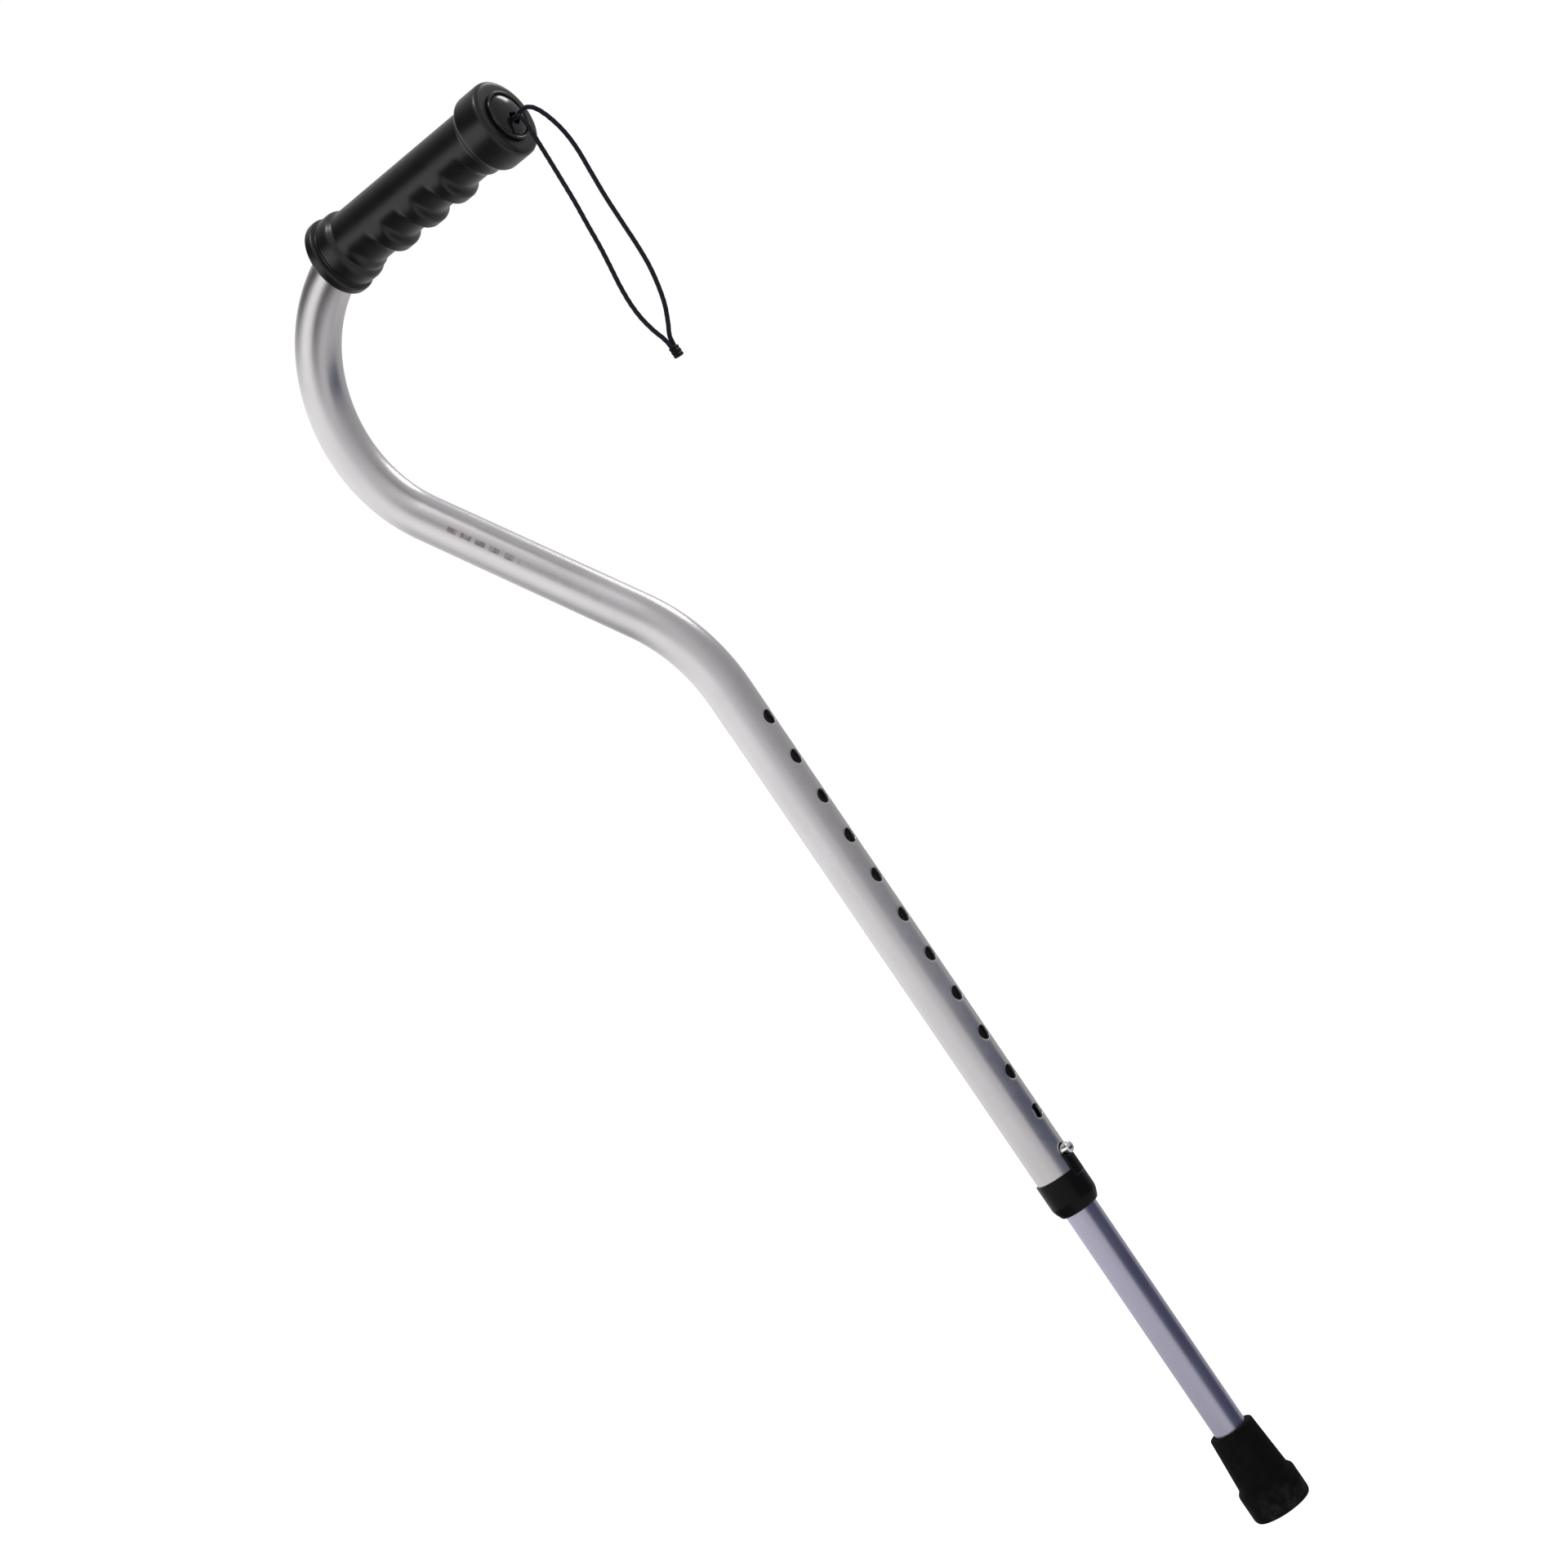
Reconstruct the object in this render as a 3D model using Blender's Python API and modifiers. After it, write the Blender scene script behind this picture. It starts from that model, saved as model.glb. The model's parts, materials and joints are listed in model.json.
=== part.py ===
"""Single point offset cane: a bent upper tube with a ribbed grip, and a leg that telescopes into it.

Metres, +Z up. The origin is the centre of the ferrule's ground face, +Z runs up the shaft and +X
points from the shaft towards the free end of the grip.
"""
import math

import bmesh
import bpy
from mathutils import Matrix, Vector

# ---- driving dimensions -------------------------------------------------------------------------
GAP = 0.0003                 # between pieces that touch on the real cane

# upper tube
UPPER_R = 0.0127             # outer radius, a 1 inch tube
UPPER_WALL = 0.0015
UPPER_FOOT_Z = 0.2018        # its lower end
SHAFT_TOP_Z = 0.528          # end of the straight shaft
SHAFT_BEND_R = 0.104         # first bend, away from the grip
LEAN = math.radians(35.9)    # of the sloping run, off the vertical
SLOPE_LENGTH = 0.1375
NECK_BEND_R = 0.088          # gooseneck, round to level
LEVEL_LENGTH = 0.1146        # straight run that carries the grip

# height holes
HOLE_GAP = 0.0007            # round the button
HOLE_PITCH = 0.0254
HOLE_COUNT = 12
FIRST_HOLE = 0.0253          # above the tube's foot

# lower tube
LOWER_R = 0.009525           # outer radius, a 3/4 inch tube
LOWER_WALL = 0.0016
LOWER_ABOVE_BUTTON = 0.031   # how far it reaches past the button

# running clearance between the tubes and what guides them
SLIDE_GAP = 0.0003

# guide bush in the mouth of the upper tube
BUSH_LENGTH = 0.014
BUSH_FLANGE = 0.0014

# glide cap on the lower tube
GLIDE_HEAD = 0.004
GLIDE_SHANK = 0.010
GLIDE_BORE_R = 0.004

# locking collar
COLLAR_WALL = 0.0008
COLLAR_GAP = 0.00025
COLLAR_OVERLAP = 0.0152      # of the sleeve over the upper tube
COLLAR_SLEEVE = 0.0155       # cylindrical length
COLLAR_TAPER = 0.0062        # tapered length under the sleeve
COLLAR_LIP = 0.0015          # wall at the bottom
COLLAR_EDGE = 0.0006         # rounding of its edges
COLLAR_SHOULDER = 0.0022     # height of the rounded shoulder on top of the taper
TAB_CHEEK = 0.0006           # of the tab, each side of its notch
TAB_WALL = 0.0013
TAB_PAST_BUTTON = 0.0004     # of the tab, past the middle of the button
TAB_ROOT = 0.004             # of the tab, below the sleeve's rim

# snap button and its spring
BUTTON_R = 0.0035
BUTTON_GAP = 0.0004
BUTTON_PROUD = 0.0055        # past the upper tube
BUTTON_DOME = 0.0016
BUTTON_LIP = 0.0012          # of the flange round the button
BUTTON_FLANGE = 0.0013
SPRING_WIDTH = 0.007
SPRING_THICK = 0.0008
SPRING_DROP = 0.031          # from the button down to the bend
SPRING_OVER = 0.0045         # of the legs above the button
SPRING_BEND_R = 0.0024
SPRING_BEND = math.radians(150)
SPRING_BEND_STEPS = 6

# ferrule
FERRULE_LENGTH = 0.0511
FERRULE_TOP_R = 0.0131
FERRULE_NECK_R = 0.0152      # just above the step
FERRULE_FOOT_R = 0.0173
FERRULE_FACE_R = 0.0163
FERRULE_STEP_Z = 0.0175
FERRULE_FLOOR = 0.0085       # rubber under the washer
FERRULE_LIP = 0.0008         # rounding of the mouth
FERRULE_SLOPE = 0.0022       # height of the slope over the step
FERRULE_SHOULDER = 0.0012    # height of the rounded shoulder under the step
TREAD_PITCH = 0.0055
TREAD_COUNT = 2
TREAD_WIDTH = 0.0016
TREAD_DEPTH = 0.0012
TREAD_DRAFT = 0.0003         # of a groove's sides
WASHER_THICK = 0.0015
WASHER_BORE_R = 0.003

# grip
GRIP_LENGTH = 0.1402
GRIP_OVERHANG = 0.0016       # past the end of the tube
GRIP_BODY_R = 0.0184
GRIP_FLANGE_R = 0.0223
GRIP_RIB_R = 0.0208
GRIP_NOTCH_R = 0.0200
RIDGE_PITCH = 0.0236
RIDGE_COUNT = 3
RIDGE_HEIGHT = 0.0018        # of a finger ridge past the body
VALLEY_DEPTH = 0.0017        # of the finger hollows between ridges
FIRST_RIDGE = 0.0439         # from the mouth end of the grip
RIDGE_FLAT = 0.0026          # half of a ridge's flat top
RIDGE_HALF = 0.0074          # half of its width at the base
HOLLOW_FADE = 0.0045         # over which the hollows run out at both ends
UNDER_START = 0.18           # sine of the turn where the ridges start, down the sides
UNDER_FADE = 0.75            # change of that sine over which they reach their depth
GRIP_EDGE = 0.0022           # rounding of the grip's ends
MOUTH_FLANGE = 0.0052        # width of the flange at the mouth
NOTCH_SLOPE = 0.0012
NOTCH_WIDTH = 0.0014
RIB_WIDTH = 0.0060
RIB_SLOPE = 0.0050
FREE_FLANGE = 0.0160         # width of the flange at the free end
FREE_SLOPE = 0.0076
BODY_STATIONS = 32           # sections along the grip's body

# end plug of the grip and the knot behind it
PLUG_LIP = 0.0018            # of the plug's head over the tube's end
PLUG_DOME = 0.0035
PLUG_SHANK = 0.0135
PLUG_HOLE_GAP = 0.0009       # round the doubled cord
KNOT_R = 0.0046
KNOT_GAP = 0.0008            # round the knot
KNOT_POCKET = 0.0093
CORD_DROP = 0.0030           # the cord's hole lies this far under the grip's axis

# wrist cord, doubled, with both ends in a crimp
CORD_R = 0.0013
CORD_STEP = 0.0042           # between points of a strand
CORD_PIVOT_OUT = 0.0024      # where the doubled cord swings, past the plug
CRIMP_WALL = 0.0007
CRIMP_LENGTH = 0.0064
CRIMP_GAP = 0.0007           # between the crimp and the strands' ends
CRIMP_SOFTNESS = 0.45        # share of the thinnest half that its edges are rounded by

# Each strand's route, from the plug's hole: out along +X, across along +Y and up along +Z.
INNER_ROUTE = [
    (0.0006, -0.0014, 0.0000), (0.0022, -0.0015, -0.0003), (0.0039, -0.0018, -0.0018),
    (0.0048, -0.0021, -0.0044), (0.0050, -0.0025, -0.0090), (0.0049, -0.0028, -0.0160),
    (0.0046, -0.0030, -0.0256), (0.0038, -0.0030, -0.0400), (0.0029, -0.0030, -0.0540),
    (0.0015, -0.0030, -0.0675), (0.0003, -0.0030, -0.0800), (-0.0012, -0.0030, -0.0905),
    (-0.0030, -0.0029, -0.1015), (-0.0040, -0.0027, -0.1120), (-0.0037, -0.0024, -0.1215),
    (-0.0020, -0.0020, -0.1305), (0.0002, -0.0016, -0.1375), (0.0010, -0.0015, -0.1424),
]
OUTER_ROUTE = [
    (0.0006, 0.0014, 0.0000), (0.0040, 0.0014, 0.0009), (0.0086, 0.0016, 0.0004),
    (0.0122, 0.0024, -0.0034), (0.0150, 0.0036, -0.0110), (0.0168, 0.0047, -0.0210),
    (0.0170, 0.0054, -0.0320), (0.0158, 0.0057, -0.0460), (0.0148, 0.0057, -0.0600),
    (0.0146, 0.0054, -0.0760), (0.0146, 0.0050, -0.0900), (0.0140, 0.0045, -0.1020),
    (0.0122, 0.0038, -0.1130), (0.0095, 0.0030, -0.1230), (0.0056, 0.0021, -0.1315),
    (0.0022, 0.0016, -0.1375), (0.0012, 0.0015, -0.1424),
]

ROUND = 24                   # sides of a turned piece or a tube
SMALL_ROUND = 16             # sides of a small one
HOLE_SIDES = 12
ARC_STEP = math.radians(7.0)
EPS_MERGE = 0.00001
PAST = 0.002                 # how far a cutter runs past what it cuts

# ---- worked out from them -----------------------------------------------------------------------
LOWEST_HOLE_Z = UPPER_FOOT_Z + FIRST_HOLE
HOLE_R = BUTTON_R + HOLE_GAP
NOTCH_R = BUTTON_R + BUTTON_GAP
BUTTON_FLANGE_R = BUTTON_R + BUTTON_LIP
COLLAR_TOP_Z = UPPER_FOOT_Z + COLLAR_OVERLAP
PLUG_HEAD_R = UPPER_R + PLUG_LIP
PLUG_HOLE_R = 2 * CORD_R + PLUG_HOLE_GAP
UPPER_BORE_R = UPPER_R - UPPER_WALL
LOWER_BORE_R = LOWER_R - LOWER_WALL
WASHER_Z = FERRULE_FLOOR + GAP
LOWER_FOOT_Z = WASHER_Z + WASHER_THICK + GAP
LOWER_TOP_Z = LOWEST_HOLE_Z + LOWER_ABOVE_BUTTON

# ---- scene, collections and materials -----------------------------------------------------------


def clear_scene():
    for old in list(bpy.data.objects):
        bpy.data.objects.remove(old, do_unlink=True)


def collection(name):
    made = bpy.data.collections.new(name)
    bpy.context.scene.collection.children.link(made)
    return made


clear_scene()
PARTS = collection("offset_cane")
CUTTERS = collection("cutters")


def material(name, colour, roughness, metallic=0.0):
    made = bpy.data.materials.new(name)
    made.use_nodes = True
    shader = made.node_tree.nodes["Principled BSDF"]
    shader.inputs["Base Color"].default_value = (*colour, 1.0)
    shader.inputs["Roughness"].default_value = roughness
    shader.inputs["Metallic"].default_value = metallic
    made.diffuse_color = (*colour, 1.0)
    return made


def add(name, mesh, finish):
    """A visible piece."""
    obj = bpy.data.objects.new(name, mesh)
    PARTS.objects.link(obj)
    obj.data.materials.append(finish)
    return obj


def add_cutter(name, mesh):
    obj = bpy.data.objects.new(name, mesh)
    CUTTERS.objects.link(obj)
    obj.display_type = "WIRE"
    obj.hide_render = True
    return obj


def boolean(obj, other, operation="DIFFERENCE"):
    step = obj.modifiers.new(operation.title() + " " + other.name, "BOOLEAN")
    step.operation = operation
    step.solver = "EXACT"
    step.object = other


# ---- shapes -------------------------------------------------------------------------------------


def turned_mesh(name, outline, closed):
    """A profile of (radius, height) points at +X, outer side from top to bottom."""
    mesh = bpy.data.meshes.new(name)
    count = len(outline)
    edges = [(i, i + 1) for i in range(count - 1)] + ([(count - 1, 0)] if closed else [])
    mesh.from_pydata([(r, 0.0, z) for r, z in outline], edges, [])
    return mesh


def spin(obj, sides):
    screw = obj.modifiers.new("Screw", "SCREW")
    screw.steps = sides
    screw.render_steps = sides
    screw.use_merge_vertices = True
    screw.merge_threshold = EPS_MERGE
    screw.use_smooth_shade = True


def turned(name, outline, finish, sides=ROUND, closed=False):
    obj = add(name, turned_mesh(name, outline, closed), finish)
    spin(obj, sides)
    return obj


def box_mesh(name, low, high):
    mesh = bpy.data.meshes.new(name)
    bm = bmesh.new()
    bmesh.ops.create_cube(bm, size=1.0)
    for vert in bm.verts:
        vert.co = Vector([a + (b - a) * (t + 0.5) for a, b, t in zip(low, high, vert.co)])
    bm.to_mesh(mesh)
    bm.free()
    return mesh


def rods_mesh(name, radius, length, sides, places):
    """Cylinders along +X, each starting at one of the places."""
    mesh = bpy.data.meshes.new(name)
    bm = bmesh.new()
    for place in places:
        middle = Vector(place) + Vector((length / 2, 0, 0))
        matrix = Matrix.Translation(middle) @ Matrix.Rotation(math.pi / 2, 4, "Y")
        bmesh.ops.create_cone(bm, cap_ends=True, segments=sides, radius1=radius,
                              radius2=radius, depth=length, matrix=matrix)
    bm.to_mesh(mesh)
    bm.free()
    return mesh


def pipe(name, points, radius, sides):
    """A curve object: a round bar along a row of points."""
    curve = bpy.data.curves.new(name, "CURVE")
    curve.dimensions = "3D"
    curve.bevel_depth = radius
    curve.bevel_resolution = (sides - 4) // 2
    curve.use_fill_caps = True
    spline = curve.splines.new("POLY")
    spline.points.add(len(points) - 1)
    for point, place in zip(spline.points, points):
        point.co = (*place, 1.0)
    return bpy.data.objects.new(name, curve)


def pipe_mesh(name, points, radius, sides):
    """The same bar as one welded mesh, for cutting."""
    bar = pipe(name + "_bar", points, radius, sides)
    CUTTERS.objects.link(bar)
    seen = bar.evaluated_get(bpy.context.evaluated_depsgraph_get())
    mesh = bpy.data.meshes.new_from_object(seen)
    mesh.transform(bar.matrix_world)
    mesh.name = name
    bm = bmesh.new()
    bm.from_mesh(mesh)
    bmesh.ops.remove_doubles(bm, verts=bm.verts, dist=EPS_MERGE)
    bm.to_mesh(mesh)
    bm.free()
    curve = bar.data
    bpy.data.objects.remove(bar, do_unlink=True)
    bpy.data.curves.remove(curve)
    return mesh


def smooth(obj, angle=35.0):
    obj.data.shade_smooth()
    obj.data.set_sharp_from_angle(angle=math.radians(angle))


def hermite(a, b, c, d, t):
    """A point between b and c on the smooth curve through four points."""
    return 0.5 * ((2 * b) + (c - a) * t + (2 * a - 5 * b + 4 * c - d) * t * t
                  + (3 * b - a - 3 * c + d) * t ** 3)


def smooth_route(places, step):
    """Evenly spaced points of the smooth curve through the places."""
    knots = [Vector(place) for place in places]
    ends = [2 * knots[0] - knots[1]] + knots + [2 * knots[-1] - knots[-2]]
    fine = []
    for i in range(len(knots) - 1):
        fine += [hermite(*ends[i:i + 4], k / 16) for k in range(16)]
    fine.append(knots[-1])
    along = [0.0]
    for a, b in zip(fine, fine[1:]):
        along.append(along[-1] + (b - a).length)
    count = max(2, round(along[-1] / step))
    points, j = [], 0
    for i in range(count + 1):
        want = along[-1] * i / count
        while j < len(fine) - 2 and along[j + 1] < want:
            j += 1
        share = (want - along[j]) / (along[j + 1] - along[j])
        points.append(fine[j].lerp(fine[j + 1], min(max(share, 0.0), 1.0)))
    return points


# ---- the upper tube's centreline ----------------------------------------------------------------


def arc(centre, radius, start, end):
    """Points of an arc in the XZ plane, without its first."""
    count = max(2, round(abs(end - start) / ARC_STEP))
    angles = [start + (end - start) * (i + 1) / count for i in range(count)]
    return [Vector((centre.x + radius * math.cos(a), 0, centre.z + radius * math.sin(a)))
            for a in angles]


def handle_line():
    """The centreline from the tube's foot to the end inside the grip."""
    line = [Vector((0, 0, UPPER_FOOT_Z)), Vector((0, 0, SHAFT_TOP_Z))]
    line += arc(Vector((-SHAFT_BEND_R, 0, SHAFT_TOP_Z)), SHAFT_BEND_R, 0.0, LEAN)
    line.append(line[-1] + SLOPE_LENGTH * Vector((-math.sin(LEAN), 0, math.cos(LEAN))))
    across = Vector((math.cos(LEAN), 0, math.sin(LEAN)))
    middle = line[-1] + NECK_BEND_R * across
    line += arc(middle, NECK_BEND_R, math.pi + LEAN, math.pi / 2)
    line.append(line[-1] + Vector((LEVEL_LENGTH, 0, 0)))
    return line


def lengthened(line, extra):
    """The line run on past both of its ends."""
    first = line[0] + (line[0] - line[1]).normalized() * extra
    last = line[-1] + (line[-1] - line[-2]).normalized() * extra
    return [first] + line[1:-1] + [last]


LINE = handle_line()
GRIP_AXIS_Z = LINE[-1].z
GRIP_FREE_X = LINE[-1].x + GRIP_OVERHANG
GRIP_MOUTH_X = GRIP_FREE_X - GRIP_LENGTH
PLUG_FACE_X = GRIP_FREE_X + GAP
CORD_EXIT = Vector((PLUG_FACE_X + PLUG_DOME, 0, GRIP_AXIS_Z - CORD_DROP))
CORD_PIVOT = CORD_EXIT + Vector((CORD_PIVOT_OUT, 0, 0))

# ---- finishes -----------------------------------------------------------------------------------
SATIN = material("satin_aluminium", (0.72, 0.71, 0.70), 0.34, 1.0)
BRIGHT = material("bright_aluminium", (0.62, 0.64, 0.70), 0.24, 1.0)
STEEL = material("spring_steel", (0.55, 0.55, 0.56), 0.30, 1.0)
CHROME = material("chrome", (0.80, 0.80, 0.80), 0.12, 1.0)
NYLON = material("white_nylon", (0.78, 0.77, 0.73), 0.50)
VINYL = material("black_vinyl", (0.018, 0.018, 0.018), 0.35)
PLASTIC = material("black_plastic", (0.015, 0.015, 0.017), 0.30)
RUBBER = material("black_rubber", (0.020, 0.020, 0.020), 0.75)
CORD = material("braided_cord", (0.016, 0.016, 0.030), 0.70)

# ---- the handle frame ---------------------------------------------------------------------------


def hole_heights():
    return [LOWEST_HOLE_Z + HOLE_PITCH * i for i in range(HOLE_COUNT)]


def make_upper_tube():
    tube = add("upper_tube", pipe_mesh("upper_tube", LINE, UPPER_R, ROUND), SATIN)
    bore = pipe_mesh("upper_bore", lengthened(LINE, UPPER_R), UPPER_BORE_R, ROUND)
    boolean(tube, add_cutter("upper_bore", bore))
    holes = rods_mesh("height_holes", HOLE_R, 2 * UPPER_R, HOLE_SIDES,
                      [(0, 0, z) for z in hole_heights()])
    boolean(tube, add_cutter("height_holes", holes))
    smooth(tube)


def make_guide_bush():
    """A nylon bush in the tube's mouth, with a flange under the tube's end."""
    inner = LOWER_R + SLIDE_GAP
    outer = UPPER_BORE_R - GAP
    top = UPPER_FOOT_Z + BUSH_LENGTH
    seat = UPPER_FOOT_Z - GAP
    foot = seat - BUSH_FLANGE
    turned("guide_bush", [(inner, top), (outer, top), (outer, seat), (UPPER_R, seat),
                          (UPPER_R, foot), (inner, foot)], NYLON, closed=True)


def bump(value, middle, half_flat, half_width):
    """1 on a flat middle, falling smoothly to 0 at the half width."""
    share = (half_width - abs(value - middle)) / (half_width - half_flat)
    share = min(max(share, 0.0), 1.0)
    return share * share * (3 - 2 * share)


def grip_profile():
    """(distance from the mouth end, radius) of the plain turned grip."""
    notch = MOUTH_FLANGE + NOTCH_SLOPE
    rib = notch + NOTCH_WIDTH + NOTCH_SLOPE
    body = rib + RIB_WIDTH + RIB_SLOPE
    flange = GRIP_LENGTH - FREE_FLANGE
    low, high = 0.3 * GRIP_EDGE, 0.5 * GRIP_EDGE
    return [
        (0.0, GRIP_FLANGE_R - GRIP_EDGE), (low, GRIP_FLANGE_R - low), (GRIP_EDGE, GRIP_FLANGE_R),
        (MOUTH_FLANGE, GRIP_FLANGE_R), (notch, GRIP_NOTCH_R), (notch + NOTCH_WIDTH, GRIP_NOTCH_R),
        (rib, GRIP_RIB_R), (rib + RIB_WIDTH, GRIP_RIB_R),
        (body - RIB_SLOPE / 2, GRIP_BODY_R + (GRIP_RIB_R - GRIP_BODY_R) / 3), (body, GRIP_BODY_R),
        (flange - FREE_SLOPE, GRIP_BODY_R),
        (flange - 0.6 * FREE_SLOPE, GRIP_BODY_R + 0.2 * (GRIP_FLANGE_R - GRIP_BODY_R)),
        (flange - 0.25 * FREE_SLOPE, GRIP_BODY_R + 0.8 * (GRIP_FLANGE_R - GRIP_BODY_R)),
        (flange, GRIP_FLANGE_R), (GRIP_LENGTH - 1.3 * GRIP_EDGE, GRIP_FLANGE_R),
        (GRIP_LENGTH - high, GRIP_FLANGE_R - high), (GRIP_LENGTH, GRIP_FLANGE_R - 1.5 * GRIP_EDGE),
    ]


def ridge_depth(distance):
    """Finger ridges and hollows along the underside, past the plain body."""
    ridges = sum(bump(distance, FIRST_RIDGE + RIDGE_PITCH * i, RIDGE_FLAT, RIDGE_HALF)
                 for i in range(RIDGE_COUNT))
    first = FIRST_RIDGE - RIDGE_PITCH
    last = FIRST_RIDGE + RIDGE_PITCH * RIDGE_COUNT
    middle, half = (first + last) / 2, (last - first) / 2
    hollow = bump(distance, middle, half - HOLLOW_FADE, half)
    return (RIDGE_HEIGHT + VALLEY_DEPTH) * ridges - VALLEY_DEPTH * hollow


def grip_stations():
    """Profile points, with more along the ridges."""
    stations = grip_profile()
    body = [s for s in stations if s[1] == GRIP_BODY_R]
    start, end = body[0][0], body[-1][0]
    step = (end - start) / BODY_STATIONS
    between = [(start + step * (i + 1), GRIP_BODY_R) for i in range(BODY_STATIONS - 1)]
    split = stations.index(body[0]) + 1
    return stations[:split] + between + stations[split:]


def grip_ring(bm, distance, radius):
    """One section: a circle whose underside follows the ridges."""
    ring = []
    for i in range(ROUND):
        angle = 2 * math.pi * i / ROUND
        under = min(max((UNDER_START - math.sin(angle)) / UNDER_FADE, 0.0), 1.0)
        under = under * under * (3 - 2 * under)
        r = radius + under * ridge_depth(distance)
        place = (GRIP_MOUTH_X + distance, r * math.cos(angle), GRIP_AXIS_Z + r * math.sin(angle))
        ring.append(bm.verts.new(place))
    return ring


def make_handle_grip():
    bm = bmesh.new()
    rings = [grip_ring(bm, distance, radius) for distance, radius in grip_stations()]
    for before, after in zip(rings, rings[1:]):
        for i in range(ROUND):
            j = (i + 1) % ROUND
            bm.faces.new((before[i], before[j], after[j], after[i]))
    bm.faces.new(list(reversed(rings[0])))
    bm.faces.new(rings[-1])
    bmesh.ops.recalc_face_normals(bm, faces=bm.faces)
    mesh = bpy.data.meshes.new("handle_grip")
    bm.to_mesh(mesh)
    bm.free()
    grip = add("handle_grip", mesh, VINYL)
    bore = pipe_mesh("grip_bore", lengthened(LINE, UPPER_R), UPPER_R + GAP, ROUND)
    boolean(grip, add_cutter("grip_bore", bore))
    smooth(grip)


def make_end_plug():
    """A domed plug in the tube's open end, with a hole for the cord and a pocket for its knot."""
    shank_r = UPPER_BORE_R - GAP
    dome = [(PLUG_HEAD_R * math.sin(a), PLUG_DOME * math.cos(a))
            for a in [math.radians(d) for d in (0, 20, 40, 60, 78)]]
    outline = dome + [(PLUG_HEAD_R, 0.0), (shank_r, 0.0), (shank_r, -PLUG_SHANK), (0.0, -PLUG_SHANK)]
    plug = turned("grip_end_plug", outline, PLASTIC)
    plug.location = (PLUG_FACE_X, 0, GRIP_AXIS_Z)
    plug.rotation_euler = (0, math.pi / 2, 0)
    start = (PLUG_FACE_X - PLUG_SHANK - PAST, 0, CORD_EXIT.z)
    hole_length = PAST + PLUG_SHANK + PLUG_DOME + PAST
    hole = rods_mesh("cord_hole", PLUG_HOLE_R, hole_length, SMALL_ROUND, [start])
    boolean(plug, add_cutter("cord_hole", hole))
    pocket = rods_mesh("knot_pocket", KNOT_R + KNOT_GAP, PAST + KNOT_POCKET, SMALL_ROUND, [start])
    boolean(plug, add_cutter("knot_pocket", pocket))


def make_cord_knot():
    """The cord's knot in the plug's pocket, with the doubled cord through the hole."""
    neck_r = PLUG_HOLE_R - 2 * GAP
    pocket_end = PLUG_FACE_X - PLUG_SHANK + KNOT_POCKET
    ball_x = pocket_end - GAP - KNOT_R
    top = CORD_EXIT.x - CORD_R / 2 - ball_x
    turn = math.asin(neck_r / KNOT_R)
    count = 6
    ball = [(KNOT_R * math.sin(a), KNOT_R * math.cos(a))
            for a in [turn + (math.pi - turn) * i / count for i in range(count)]]
    knot = turned("cord_knot", [(0.0, top), (neck_r, top)] + ball + [(0.0, -KNOT_R)], CORD, SMALL_ROUND)
    knot.location = (ball_x, 0, CORD_EXIT.z)
    knot.rotation_euler = (0, math.pi / 2, 0)


# ---- the lower leg ------------------------------------------------------------------------------


def make_lower_tube():
    outline = [(LOWER_BORE_R, LOWER_TOP_Z), (LOWER_R, LOWER_TOP_Z),
               (LOWER_R, LOWER_FOOT_Z), (LOWER_BORE_R, LOWER_FOOT_Z)]
    tube = turned("lower_tube", outline, BRIGHT, closed=True)
    hole = rods_mesh("button_hole", NOTCH_R, 2 * LOWER_R, SMALL_ROUND,
                     [(0, 0, LOWEST_HOLE_Z)])
    boolean(tube, add_cutter("button_hole", hole))


def make_glide_cap():
    """A nylon cap pressed in the lower tube's top, whose head runs in the upper tube's bore."""
    shank_r = LOWER_BORE_R - GAP
    head_r = UPPER_BORE_R - SLIDE_GAP
    seat = LOWER_TOP_Z + GAP
    top = seat + GLIDE_HEAD
    outline = [(GLIDE_BORE_R, top), (head_r, top), (head_r, seat), (shank_r, seat),
               (shank_r, seat - GLIDE_SHANK), (GLIDE_BORE_R, seat - GLIDE_SHANK)]
    turned("glide_cap", outline, NYLON, closed=True)


def make_ferrule():
    """A rubber tip: a tapered sleeve, a step to the foot, and ring grooves in the ground face."""
    bore = LOWER_R + GAP
    edge = FERRULE_FOOT_R - FERRULE_FACE_R
    slope_r = FERRULE_FOOT_R - FERRULE_SHOULDER / 2
    outside = [
        (bore, FERRULE_LENGTH), (FERRULE_TOP_R - FERRULE_LIP, FERRULE_LENGTH),
        (FERRULE_TOP_R, FERRULE_LENGTH - FERRULE_LIP),
        (FERRULE_NECK_R, FERRULE_STEP_Z + FERRULE_SLOPE), (slope_r, FERRULE_STEP_Z),
        (FERRULE_FOOT_R, FERRULE_STEP_Z - FERRULE_SHOULDER), (FERRULE_FOOT_R, 2.2 * edge),
        (FERRULE_FOOT_R - 0.3 * edge, 0.7 * edge), (FERRULE_FACE_R, 0.0),
    ]
    tread = []
    for i in range(TREAD_COUNT, 0, -1):
        out = TREAD_PITCH * i + TREAD_WIDTH / 2
        back = out - TREAD_WIDTH
        tread += [(out, 0.0), (out - TREAD_DRAFT, TREAD_DEPTH), (back + TREAD_DRAFT, TREAD_DEPTH),
                  (back, 0.0)]
    inside = [(0.0, FERRULE_FLOOR), (bore, FERRULE_FLOOR)]
    # from the axis at the bore's floor, up the bore, down the outside and back along the ground face
    turned("ferrule", inside + outside + tread + [(0.0, 0.0)], RUBBER)


def make_washer():
    rim = LOWER_R
    top = WASHER_Z + WASHER_THICK
    turned("ferrule_washer", [(WASHER_BORE_R, top), (rim, top), (rim, WASHER_Z),
                              (WASHER_BORE_R, WASHER_Z)], STEEL, closed=True)


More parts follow.
